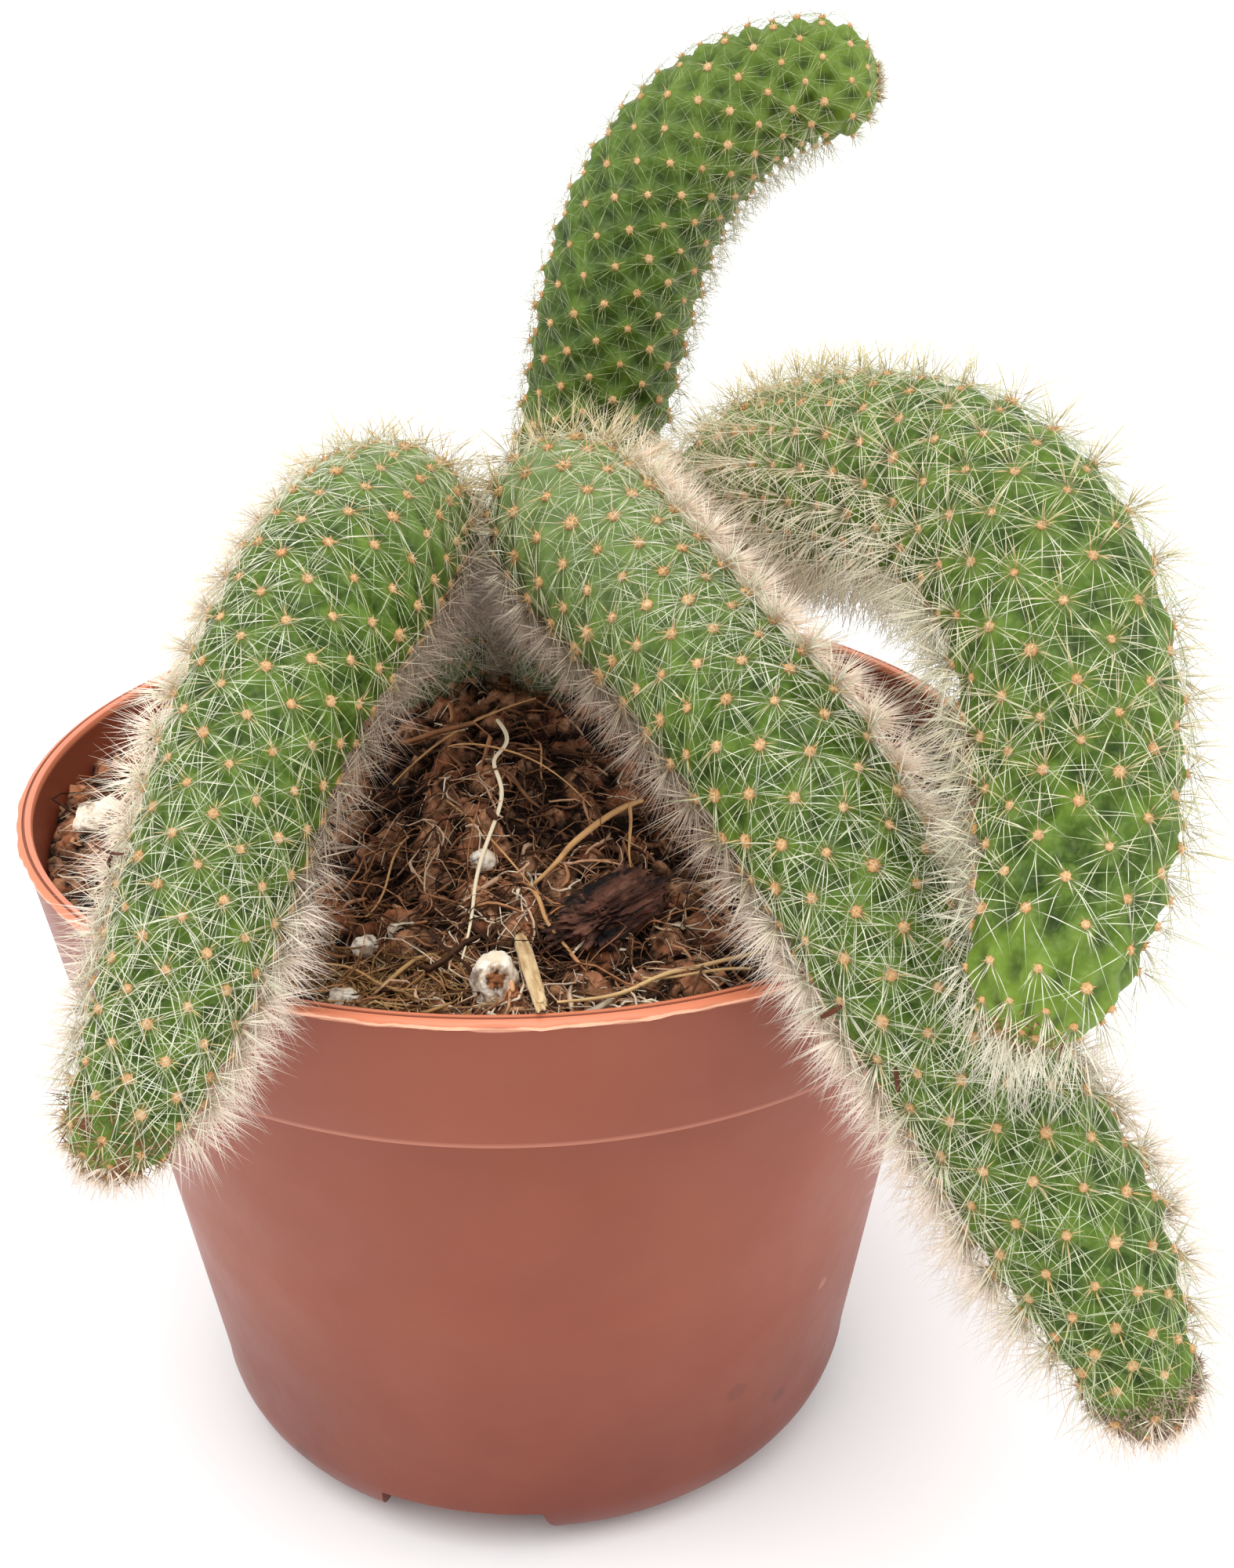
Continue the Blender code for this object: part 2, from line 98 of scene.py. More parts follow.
def stampCopies(name, pattern, places, labels):
    # one mesh of many copies of a pattern, each with its own root, run, sides, bends and labels
    points, triangles = pattern
    count, corners = len(places["root"]), len(points)
    reach = np.clip(points[:, 2], 0, 1)
    shapes = {"run": points[:, 2], "sideA": points[:, 0], "sideB": points[:, 1], "bow": points[:, 2] ** 2,
              "arch": np.sin(np.pi * reach), "wave": np.sin(2 * np.pi * points[:, 2])}
    spots = places["root"][:, None, :]
    for key, shape in shapes.items():
        if key in places:
            spots = spots + places[key][:, None, :] * shape[None, :, None]
    faces = (triangles[None] + (np.arange(count) * corners)[:, None, None]).reshape(-1, 3)
    mesh = bpy.data.meshes.new(name)
    mesh.vertices.add(count * corners)
    mesh.vertices.foreach_set("co", spots.reshape(-1).astype(np.float32))
    mesh.loops.add(len(faces) * 3)
    mesh.loops.foreach_set("vertex_index", faces.reshape(-1).astype(np.int32))
    mesh.polygons.add(len(faces))
    mesh.polygons.foreach_set("loop_start", np.arange(0, len(faces) * 3, 3, dtype=np.int32))
    mesh.update(calc_edges=True)
    item = bpy.data.objects.new(name, mesh)
    bpy.context.collection.objects.link(item)
    addAttribute(item, "reach", np.tile(reach, count))
    for label, values in labels.items():
        addAttribute(item, label, np.repeat(values, corners))
    return item


def unit(vectors):
    return vectors / np.maximum(np.linalg.norm(vectors, axis=-1, keepdims=True), 1e-9)


def sidesOf(runs, spin):
    # two directions square to each run, turned about it by spin
    away = np.where(np.abs(runs[:, 2:3]) > 0.9, (1.0, 0.0, 0.0), (0.0, 0.0, 1.0))
    first = unit(np.cross(runs, away))
    second = np.cross(unit(runs), first)
    cos, sin = np.cos(spin)[:, None], np.sin(spin)[:, None]
    return first * cos + second * sin, second * cos - first * sin


# small helpers for the finishes

def newNode(tree, kind, **values):
    # a node with its settings, and its inputs set by value or linked by socket
    item = tree.nodes.new(kind)
    for key, value in values.items():
        if hasattr(item, key) and key not in item.inputs:
            setattr(item, key, value)
    for key, value in values.items():
        if key.startswith("in"):
            socket = item.inputs[int(key[2:])]
        elif key in item.inputs:
            socket = item.inputs[key]
        else:
            continue
        if isinstance(value, bpy.types.NodeSocket):
            tree.links.new(value, socket)
        else:
            socket.default_value = value
    return item


def mathNode(tree, operation, first, second, clamp=False):
    item = newNode(tree, "ShaderNodeMath", operation=operation, use_clamp=clamp, in0=first, in1=second)
    return item.outputs[0]


def times(tree, mask, *others):
    # a mask or a noise multiplied by others, or by a plain number
    for other in others:
        mask = mathNode(tree, "MULTIPLY", mask, other)
    return mask


def ramp(tree, value, low, high, start=0.0, end=1.0):
    # start where the value is low, end where it is high
    item = newNode(tree, "ShaderNodeMapRange", in0=value, in1=low, in2=high, in3=start, in4=end)
    return item.outputs[0]


def mixColour(tree, share, first, second):
    item = tree.nodes.new("ShaderNodeMix")
    item.data_type = "RGBA"
    for socket, value in ((item.inputs[0], share), (item.inputs[6], first), (item.inputs[7], second)):
        if isinstance(value, bpy.types.NodeSocket):
            tree.links.new(value, socket)
        else:
            socket.default_value = value
    return item.outputs[2]


def noiseNode(tree, place, scale, detail=3.0, roughness=0.55):
    item = newNode(tree, "ShaderNodeTexNoise", Vector=place, Scale=scale, Detail=detail, Roughness=roughness)
    return item.outputs[0]


def ownLabel(tree, name):
    return newNode(tree, "ShaderNodeAttribute", attribute_type="GEOMETRY", attribute_name=name).outputs["Fac"]


def newFinish(name, roughness, specular=0.5):
    finish = bpy.data.materials.new(name)
    finish.use_nodes = True
    tree = finish.node_tree
    shader = tree.nodes["Principled BSDF"]
    shader.inputs["Roughness"].default_value = roughness
    shader.inputs["Specular IOR Level"].default_value = specular
    place = tree.nodes.new("ShaderNodeTexCoord").outputs["Object"]
    return finish, tree, shader, place


def feed(tree, source, shader, socket):
    tree.links.new(source, shader.inputs[socket])


def feedBump(tree, height, shader, strength, distance):
    bump = newNode(tree, "ShaderNodeBump", Strength=strength, Distance=distance, Height=height)
    tree.links.new(bump.outputs[0], shader.inputs["Normal"])


def newGroup(name, inputs, output):
    # a group whose inputs are numbers with a usual value, or sockets of a named kind
    group = bpy.data.node_groups.new(name, "ShaderNodeTree")
    for label, value in inputs.items():
        isNumber = isinstance(value, float)
        kind = "NodeSocketFloat" if isNumber else "NodeSocket" + value
        socket = group.interface.new_socket(label, in_out="INPUT", socket_type=kind)
        if isNumber:
            socket.default_value = value
    kind = "NodeSocketColor" if output == "Color" else "NodeSocketFloat"
    group.interface.new_socket(output, in_out="OUTPUT", socket_type=kind)
    return group, group.nodes.new("NodeGroupInput").outputs, group.nodes.new("NodeGroupOutput").inputs[output]


def useGroup(tree, group, **values):
    item = tree.nodes.new("ShaderNodeGroup")
    item.node_tree = group
    for key, value in values.items():
        if isinstance(value, bpy.types.NodeSocket):
            tree.links.new(value, item.inputs[key])
        else:
            item.inputs[key].default_value = value
    return item.outputs[0]


def mottleGroup():
    # cloudy change between two colours
    group, given, made = newGroup(
        "mottle",
        {"Place": "Vector", "Scale": 100.0, "Low": 0.35, "High": 0.65, "First": "Color", "Second": "Color"},
        "Color")
    cloud = noiseNode(group, given["Place"], given["Scale"], 4.0, 0.6)
    mask = ramp(group, cloud, given["Low"], given["High"])
    group.links.new(mixColour(group, mask, given["First"], given["Second"]), made)
    return group


def speckGroup():
    # small round marks, present in only a share of the cells
    group, given, made = newGroup(
        "specks", {"Place": "Vector", "Scale": 300.0, "Size": 0.2, "Share": 0.1}, "Mask")
    place = given["Place"]
    wobble = newNode(group, "ShaderNodeTexNoise", Vector=place, Scale=900.0).outputs["Color"]
    shift = newNode(group, "ShaderNodeVectorMath", operation="MULTIPLY_ADD",
                    in0=wobble, in1=(0.0012,) * 3, in2=place)
    cells = newNode(group, "ShaderNodeTexVoronoi", Vector=shift.outputs[0], Scale=given["Scale"])
    near = mathNode(group, "SUBTRACT", given["Size"], cells.outputs["Distance"])
    dot = mathNode(group, "MULTIPLY", near, 12.0, clamp=True)
    pick = newNode(group, "ShaderNodeSeparateColor", in0=cells.outputs["Color"]).outputs[0]
    group.links.new(times(group, dot, mathNode(group, "LESS_THAN", pick, given["Share"])), made)
    return group


mottle = mottleGroup()
specks = speckGroup()


# the pot

pot = {
    "height": 77.0, "wall": 1.2, "steps": 288,
    # the collar runs from just under the lip down to a moulded step, in radius
    "lipOut": 52.5, "lipIn": 51.0, "collarStart": 75.8, "collarTop": 52.2, "collarFoot": 49.8,
    "collarHeight": 15.0, "stepEdges": ((-0.12, 0.18), (-0.5, 0.0)),
    "shoulder": 45.7, "shoulderEdges": ((0.3, -0.5), (-0.1, -0.9)),
    "cornerCentre": 28.2, "cornerRadius": 9.0, "floorRing": 15.0,
    "lip": ((51.15, 76.86), (51.45, 77.0), (51.75, 76.97), (51.83, 76.8), (51.95, 76.78), (52.05, 76.95),
            (52.3, 76.9), (52.47, 76.72), (52.5, 76.45), (52.38, 76.2), (52.22, 76.05)), "lipStart": 76.55,
    # ragged moulding flash, on what lies past this radius and height
    "flash": 0.28, "flashFrom": (52.1, 76.1),
    "notches": 4, "firstNotch": -98.9, "notchWidth": 20.6, "notchTop": 0.86, "notchHeight": 6.6,
    "notchStart": 29.5, "notchInset": 0.3,
    "drains": 6, "drainRadius": 3.0, "drainCircle": 14.0, "drainDepth": 6.0, "drainSides": 32,
}


def potWall(inset):
    # the outside of the wall in radius and height, top to bottom, moved in by inset
    step = pot["height"] - pot["collarHeight"] + inset
    low, reach = pot["cornerRadius"], pot["cornerRadius"] - inset
    collarFoot, shoulder = pot["collarFoot"] - inset, pot["shoulder"] - inset
    # the slope ends 0.55 above the step, and the taper starts 1.3 under it
    slope = [(pot["collarTop"] - inset + (pot["collarFoot"] - pot["collarTop"]) * part / 4,
              pot["collarStart"] + (step + 0.55 - pot["collarStart"]) * part / 4) for part in range(5)]
    rounded = [(collarFoot + out, step + up) for out, up in pot["stepEdges"]]
    wall = [(shoulder + out, step + up) for out, up in pot["shoulderEdges"]]
    taper = [(pot["cornerCentre"] + reach + (shoulder - pot["cornerCentre"] - reach) * part / 6,
              low + (step - 1.3 - low) * part / 6) for part in (5, 4, 3, 2, 1)]
    corner = [math.radians(turn) for turn in range(0, -91, -9)]
    bend = [(pot["cornerCentre"] + reach * math.cos(turn), low + reach * math.sin(turn)) for turn in corner]
    return slope + rounded + wall + taper + bend + [(pot["floorRing"], inset), (0.0, inset)]


def potProfile():
    lip = [(pot["lipIn"], pot["lipStart"]), *pot["lip"]]
    return potWall(pot["wall"])[::-1] + lip + potWall(0.0)


def notchBlocks(grow):
    # tapered blocks that fill the foot notches, larger by grow all round
    inner, outer = pot["notchStart"] - grow, pot["lipOut"]
    low, high = -2 * pot["wall"], pot["notchHeight"] + grow
    blocks = []
    for part in range(pot["notches"]):
        bpy.ops.mesh.primitive_cube_add(size=1)
        block = bpy.context.object
        for vertex in block.data.vertices:
            if vertex.co.z > 0:
                vertex.co.y *= pot["notchTop"]
        block.scale = ((outer - inner) * mm, (pot["notchWidth"] + 2 * grow) * mm, (high - low) * mm)
        block.location = ((inner + outer) / 2 * mm, 0, (low + high) / 2 * mm)
        applyPlace(block)
        block.rotation_euler.z = math.radians(pot["firstNotch"]) + math.tau * part / pot["notches"]
        applyPlace(block)
        blocks.append(block)
    return joined(blocks)


def joined(items):
    onlySelect(*items)
    bpy.ops.object.join()
    return bpy.context.object


def applyBoolean(item, operation, tool):
    cut = item.modifiers.new(operation, "BOOLEAN")
    cut.operation = operation
    cut.solver = "EXACT"
    cut.use_self = True
    cut.object = tool
    onlySelect(item)
    bpy.ops.object.modifier_apply(modifier=cut.name)
    bpy.data.objects.remove(tool, do_unlink=True)


def turnedShape(profile):
    bpy.ops.mesh.primitive_plane_add(size=1)
    item = bpy.context.object
    bpy.ops.object.mode_set(mode="EDIT")
    bpy.ops.mesh.select_all(action="SELECT")
    bpy.ops.mesh.merge(type="CENTER")
    start = Vector((profile[0][0] * mm, 0, profile[0][1] * mm))
    bpy.ops.transform.translate(value=start)
    for before, after in zip(profile, profile[1:]):
        step = ((after[0] - before[0]) * mm, 0, (after[1] - before[1]) * mm)
        bpy.ops.mesh.extrude_region_move(TRANSFORM_OT_translate={"value": step})
    bpy.ops.mesh.select_all(action="SELECT")
    bpy.ops.mesh.spin(steps=pot["steps"], angle=math.tau, center=(0, 0, 0), axis=(0, 0, 1))
    bpy.ops.mesh.select_all(action="SELECT")
    bpy.ops.mesh.remove_doubles(threshold=0.00002)
    bpy.ops.mesh.normals_make_consistent(inside=False)
    bpy.ops.object.mode_set(mode="OBJECT")
    return item


def raggedFlash(item):
    # ragged moulding flash along the outside of the lip
    fromRadius, fromHeight = pot["flashFrom"]
    for vertex in item.data.vertices:
        if math.hypot(vertex.co.x, vertex.co.y) > fromRadius * mm and vertex.co.z > fromHeight * mm:
            turn = math.atan2(vertex.co.y, vertex.co.x)
            spot = Vector((math.cos(turn), math.sin(turn), 0))
            rough = noise.noise(spot * 14) + 0.6 * noise.noise(spot * 45) + 0.3 * noise.noise(spot * 120)
            share = max(0.0, 0.35 + rough) * pot["flash"] * mm
            vertex.co.x += spot.x * share
            vertex.co.y += spot.y * share
            vertex.co.z -= share * 0.6


def buildPot():
    item = turnedShape(potProfile())
    raggedFlash(item)
    # each notch is walled inside, within the pot's own wall
    within = potWall(pot["notchInset"])
    walls = notchBlocks(pot["wall"])
    applyBoolean(walls, "INTERSECT", turnedShape([(0.0, within[0][1])] + within))
    applyBoolean(item, "UNION", walls)
    cutters = [notchBlocks(0.0)]
    for part in range(pot["drains"]):
        turn = math.tau * part / pot["drains"]
        spot = (pot["drainCircle"] * math.cos(turn) * mm, pot["drainCircle"] * math.sin(turn) * mm, 0)
        bpy.ops.mesh.primitive_cylinder_add(vertices=pot["drainSides"], radius=pot["drainRadius"] * mm,
                                            depth=pot["drainDepth"] * mm, location=spot)
        applyPlace(bpy.context.object)
        cutters.append(bpy.context.object)
    applyBoolean(item, "DIFFERENCE", joined(cutters))
    onlySelect(item)
    bpy.ops.object.shade_smooth_by_angle(angle=math.radians(35))
    return item


def potFinish():
    # heights and radii are in metres here, as Object coordinates are
    finish, tree, shader, place = newFinish("terracotta plastic", 0.42, 0.38)
    shade = useGroup(tree, mottle, Place=place, Scale=38.0, Low=0.3, High=0.7,
                     First=srgb(141, 70, 46), Second=srgb(131, 62, 40))
    height = newNode(tree, "ShaderNodeSeparateXYZ", in0=place).outputs[2]
    # painted shade: the wall grows darker and browner towards the bottom, in patches
    low = ramp(tree, height, 0.034, 0.0, 0.0, 0.95)
    patches = ramp(tree, noiseNode(tree, place, 55.0, 3.0), 0.38, 0.66, 0.6, 1.0)
    shade = mixColour(tree, times(tree, low, patches), shade, srgb(96, 34, 22))
    stain = useGroup(tree, specks, Place=place, Scale=170.0, Size=0.28, Share=0.08)
    nearFoot = ramp(tree, height, 0.03, 0.008)
    shade = mixColour(tree, times(tree, stain, nearFoot, 0.55), shade, srgb(78, 30, 28))
    # dark specks on the collar and pale nicks lower down
    dark = useGroup(tree, specks, Place=place, Scale=430.0, Size=0.2, Share=0.055)
    onCollar = times(tree, ramp(tree, height, 0.061, 0.064), ramp(tree, height, 0.0762, 0.0745))
    shade = mixColour(tree, times(tree, dark, onCollar, 0.7), shade, srgb(74, 34, 26))
    nick = useGroup(tree, specks, Place=place, Scale=210.0, Size=0.17, Share=0.022)
    onWall = times(tree, ramp(tree, height, 0.014, 0.02), ramp(tree, height, 0.06, 0.05))
    shade = mixColour(tree, times(tree, nick, onWall, 0.45), shade, srgb(178, 124, 100))
    # light painted on the lip: a painted highlight on its top, painted shade in its groove and a painted
    # highlight on the ragged flash
    lip = ramp(tree, height, 0.0761, 0.0765)
    shade = mixColour(tree, times(tree, lip, 0.95), shade, srgb(228, 136, 100))
    level = newNode(tree, "ShaderNodeVectorMath", operation="MULTIPLY", in0=place, in1=(1.0, 1.0, 0.0))
    radius = newNode(tree, "ShaderNodeVectorMath", operation="LENGTH", in0=level.outputs[0]).outputs["Value"]
    groove = times(tree, ramp(tree, radius, 0.05168, 0.0518), ramp(tree, radius, 0.05206, 0.05196))
    shade = mixColour(tree, times(tree, groove, lip, 0.8), shade, srgb(104, 48, 34))
    ragged = mathNode(tree, "ADD", height, times(tree, noiseNode(tree, place, 260.0), 0.0008))
    edge = times(tree, ramp(tree, ragged, 0.0762, 0.0763), ramp(tree, ragged, 0.0769, 0.0768))
    flash = times(tree, ramp(tree, radius, 0.0521, 0.0523), edge, 0.95)
    shade = mixColour(tree, flash, shade, srgb(255, 190, 156))
    # a painted highlight runs along the collar's foot, where its edge catches the light
    foot = times(tree, ramp(tree, height, 0.0618, 0.0621), ramp(tree, height, 0.0628, 0.0624), 0.7)
    shade = mixColour(tree, foot, shade, srgb(182, 116, 92))
    feed(tree, shade, shader, "Base Color")
    feed(tree, ramp(tree, noiseNode(tree, place, 90.0, 4.0), 0.3, 0.7, 0.36, 0.5), shader, "Roughness")
    grain = mathNode(tree, "ADD", noiseNode(tree, place, 420.0, 2.0), times(tree, nick, -1.6))
    feedBump(tree, grain, shader, 0.12, 0.0003)
    return finish


finishPiece(buildPot(), "nurseryPot", "pot_plastic", potFinish(), "pot", smooth=False)
print("pot made")


# the soil

soil = {
    "level": 72.0, "mound": 11.5, "spread": 26.0, "clod": 0.8, "clodSize": 7.0, "edge": 49.95, "cells": 210,
    "fibres": 3500, "chips": 900, "gap": 0.3, "foot": 27.8, "footTop": 8.3,
    # height and size of the lumps, and how far they are sunk
    "lump": 4.0, "lumpSize": 4.6, "lumpSunk": 1.1,
    # a fibre's usual length and its spread as logarithms, its shortest, and its half width in mm
    "fibreLong": (1.4, 0.5), "shortest": 1.4, "fibreThick": (0.05, 0.12),
    # the share that are ribbons of husk, and how many times as wide
    "ribbons": 0.16, "ribbonWide": (2.0, 4.5),
    # how far out the chips lie, and their size, as for the fibres
    "chipReach": 47.5, "chipSize": (-0.65, 0.45), "chipLimits": (0.25, 1.1),
    # a tangle of tan fibres in front: how many, where and how spread
    "tangle": 260, "tangleAt": (-10.5, -40.5), "tangleSpread": (4.2, 2.2),
    # painted light: the front is paler than this, where more light falls on it, over so many millimetres
    "frontLightFrom": -26, "frontLightOver": 12,
}


def soilHeight(x, y):
    # the mound and its low clods, in metres, as the solid soil has them
    rise = soil["mound"] * mm * math.exp(-(x * x + y * y) / (soil["spread"] * mm) ** 2)
    clods = soil["clod"] * mm * noise.noise(Vector((x, y, 0)) / (soil["clodSize"] * mm))
    return soil["level"] * mm + rise + clods


def soilTop(x, y):
    # the same with the lumps and crumbs on it
    spot = Vector((x, y, 0)) / mm
    lumps = abs(noise.noise(spot / soil["lumpSize"] + Vector((7, 3, 1)))) * soil["lump"] - soil["lumpSunk"]
    crumbs = 0.9 * noise.noise(spot / 1.7) + 0.45 * noise.noise(spot / 0.7)
    return soilHeight(x, y) + (lumps + crumbs) * mm


def buildSoil():
    edge, level = soil["edge"], soil["level"]
    bpy.ops.mesh.primitive_grid_add(x_subdivisions=soil["cells"], y_subdivisions=soil["cells"], size=2)
    item = bpy.context.object
    # the square grid becomes a disc
    for vertex in item.data.vertices:
        x, y = vertex.co.x, vertex.co.y
        vertex.co.x = x * math.sqrt(1 - y * y / 2) * edge * mm
        vertex.co.y = y * math.sqrt(1 - x * x / 2) * edge * mm
        vertex.co.z = level * mm
    bpy.ops.object.mode_set(mode="EDIT")
    bpy.ops.mesh.select_all(action="SELECT")
    bpy.ops.mesh.region_to_loop()
    # it stands on the pot's floor inside the notch walls
    inside = pot["wall"] + soil["gap"]
    below = [point for point in potWall(inside) if soil["footTop"] < point[1] < level - 3]
    below += [(soil["foot"], soil["footTop"]), (soil["foot"], inside)]
    radius, height = edge, level
    for nextRadius, nextHeight in below:
        bpy.ops.mesh.extrude_edges_move(TRANSFORM_OT_translate={"value": (0, 0, (nextHeight - height) * mm)})
        share = nextRadius / radius
        bpy.ops.transform.resize(value=(share, share, 1), center_override=(0, 0, 0))
        radius, height = nextRadius, nextHeight
    bpy.ops.mesh.edge_face_add()
    bpy.ops.mesh.select_all(action="SELECT")
    bpy.ops.mesh.normals_make_consistent(inside=False)
    bpy.ops.object.mode_set(mode="OBJECT")
    hollow = []
    for vertex in item.data.vertices:
        raised = 0.0
        if vertex.co.z > (level - 0.5) * mm:
            top = soilTop(vertex.co.x, vertex.co.y)
            raised = (top - soilHeight(vertex.co.x, vertex.co.y)) / mm
            vertex.co.z = top
        hollow.append(raised)
    addAttribute(item, "raised", hollow)
    return item


def soilFinish():
    finish, tree, shader, place = newFinish("potting soil", 0.95, 0.2)
    shade = useGroup(tree, mottle, Place=place, Scale=620.0, Low=0.38, High=0.66,
                     First=srgb(20, 11, 8), Second=srgb(206, 152, 114))
    rust = ramp(tree, noiseNode(tree, place, 230.0), 0.45, 0.66, 0.0, 0.75)
    shade = mixColour(tree, rust, shade, srgb(178, 108, 72))
    # painted shade: almost black in the hollows
    hollow = ramp(tree, ownLabel(tree, "raised"), 0.2, -0.65, 0.0, 0.96)
    shade = mixColour(tree, hollow, shade, srgb(9, 5, 4))
    feed(tree, shade, shader, "Base Color")
    rough = mathNode(tree, "ADD", noiseNode(tree, place, 1500.0, 4.0), noiseNode(tree, place, 620.0))
    feedBump(tree, rough, shader, 0.9, 0.0005)
    return finish


def fibreFinish(name, dark, middle, pale, stain=0.4):
    # dry plant fibre whose colour goes with the copy's own tone
    finish, tree, shader, place = newFinish(name, 0.85, 0.25)
    tone = ownLabel(tree, "tone")
    shade = mixColour(tree, ramp(tree, tone, 0.0, 0.5), dark, middle)
    shade = mixColour(tree, ramp(tree, tone, 0.5, 1.0), shade, pale)
    shade = mixColour(tree, ramp(tree, noiseNode(tree, place, 700.0, 2.0), 0.4, 0.7, 0.0, stain), shade, dark)
    feed(tree, shade, shader, "Base Color")
    return finish


def fibrePattern():
    # a thin three-sided strand, narrower at its ends, with rows to bend at
    bpy.ops.mesh.primitive_cylinder_add(vertices=3, radius=1, depth=1, location=(0, 0, 0.5))
    item = bpy.context.object
    applyPlace(item)
    bpy.ops.object.mode_set(mode="EDIT")
    for cut in (0.18, 0.36, 0.54, 0.72, 0.88):
        bpy.ops.mesh.select_all(action="SELECT")
        bpy.ops.mesh.bisect(plane_co=(0, 0, cut), plane_no=(0, 0, 1))
    bpy.ops.object.mode_set(mode="OBJECT")
    for vertex in item.data.vertices:
        width = 0.55 + 0.45 * math.sin(math.pi * min(1, max(0, vertex.co.z)) ** 0.8)
        vertex.co.x *= width
        vertex.co.y *= width
    return patternOf(item)


def hollowShade(spots):
    # painted shade: darker for what lies in the hollows
    raised = np.array([soilTop(x, y) - soilHeight(x, y) for x, y in spots]) / mm
    return np.clip(0.76 + 0.8 * raised, 0.08, 1.12)


def paintedFrontLight(y):
    # painted light on the soil's front: 0 at the middle of the pot, 1 at its front
    return np.clip((soil["frontLightFrom"] - y / mm) / soil["frontLightOver"], 0, 1)


def soilFibres(name, rng, middle, reach, curl, finish):
    # bent fibres laid over the lumps, each with its middle at one of the spots
    count = len(middle)
    length = np.exp(rng.normal(*soil["fibreLong"], count)).clip(soil["shortest"], reach) * mm
    heading = rng.uniform(0, math.tau, count)
    half = np.stack([np.cos(heading), np.sin(heading)], 1) * length[:, None] / 2
    starts, ends = middle - half, middle + half
    limit = (soil["edge"] - 0.6) * mm
    for spots in (starts, ends):
        far = np.linalg.norm(spots, axis=1)
        spots *= np.minimum(1.0, limit / far)[:, None]
    lift = rng.uniform(-0.1, 1.1, (count, 2)) * mm
    low = np.array([soilTop(x, y) for x, y in starts]) + lift[:, 0]
    high = np.array([soilTop(x, y) for x, y in ends]) + lift[:, 1]
    root = np.column_stack([starts, low])
    run = np.column_stack([ends, high]) - root
    thin, more = soil["fibreThick"]
    thick = (thin + more * rng.uniform(0, 1, count) ** 2) * mm
    sideA, sideB = sidesOf(run, rng.uniform(0, math.tau, count))
    flat = unit(np.cross(run, (0.0, 0.0, 1.0)))
    arch = flat * (rng.normal(0, 0.2 * curl, count) * length)[:, None]
    arch[:, 2] += rng.uniform(-0.05, 0.2, count) * length
    bow = flat * (rng.normal(0, 0.15 * curl, count) * length)[:, None]
    wave = flat * (rng.normal(0, 0.11 * curl, count) * length)[:, None]
    wave[:, 2] += rng.normal(0, 0.05, count) * length
    # some are flat ribbons of husk rather than round fibres
    isRibbon = rng.uniform(0, 1, count) < soil["ribbons"]
    ribbon = np.where(isRibbon, rng.uniform(*soil["ribbonWide"], count), 1.0)
    sideA = sideA * (thick * ribbon)[:, None]
    sideB = sideB * (thick / ribbon ** 0.3)[:, None]
    places = {"root": root, "run": run, "sideA": sideA, "sideB": sideB,
              "arch": arch, "bow": bow, "wave": wave}
    # the tone carries painted light towards the front and painted shade in the hollows
    tone = (rng.beta(0.85, 0.95, count) + 0.42 * paintedFrontLight(middle[:, 1])) * hollowShade(middle)
    return finishPiece(stampCopies(name, fibrePattern(), places, {"tone": tone}), name, "soil", finish)


def spreadSpots(rng, count):
    # spots all over the soil, more of them in front, where it shows
    turn = rng.uniform(0, math.tau, count)
    reach = soil["edge"] * 0.975 * np.sqrt(rng.uniform(0, 1, count)) * mm
    forward = rng.uniform(0, 1, count) < 0.45
    turn = np.where(forward, rng.normal(-math.pi / 2, 0.62, count), turn)
    return np.stack([reach * np.cos(turn), reach * np.sin(turn)], 1)


def soilChips():
    # husk flakes lying at all angles, made from one uneven blob
    rng = np.random.default_rng(23)
    count = soil["chips"]
    bpy.ops.mesh.primitive_ico_sphere_add(subdivisions=1, radius=1)
    item = bpy.context.object
    for vertex in item.data.vertices:
        vertex.co *= 1 + 0.95 * noise.noise(vertex.co * 2.1)
    points, triangles = patternOf(item)
    points[:, 2] = points[:, 2] * 0.5 + 0.5
    front = rng.uniform(0, 1, count) < 0.55
    turn = np.where(front, rng.normal(-math.pi / 2, 0.6, count), rng.uniform(0, math.tau, count))
    reach = soil["chipReach"] * np.sqrt(rng.uniform(0, 1, count)) * mm
    x, y = reach * np.cos(turn), reach * np.sin(turn)
    z = np.array([soilTop(a, b) for a, b in zip(x, y)]) + rng.uniform(-0.1, 0.35, count) * mm
    size = np.exp(rng.normal(*soil["chipSize"], count)).clip(*soil["chipLimits"])
    run = unit(rng.normal(0, 1, (count, 3)) * (1, 1, 0.3)) * (size * 2.0)[:, None] * mm
    sideA, sideB = sidesOf(run, rng.uniform(0, math.tau, count))
    sideA = sideA * (size * rng.uniform(0.35, 0.85, count))[:, None] * mm
    sideB = sideB * (size * rng.uniform(0.12, 0.42, count))[:, None] * mm
    places = {"root": np.column_stack([x, y, z]) - run / 2, "run": run, "sideA": sideA, "sideB": sideB}
    # the tone carries painted light towards the front and painted shade in the hollows
    tone = (rng.beta(1.3, 2.0, count) + 0.16 * paintedFrontLight(y)) * hollowShade(np.column_stack([x, y]))
    item = stampCopies("huskFlakes", (points, triangles), places, {"tone": tone})
    finish = fibreFinish("husk flake", srgb(24, 12, 9), srgb(132, 78, 54), srgb(232, 176, 128))
    return finishPiece(item, "huskFlakes", "soil", finish, smooth=False)


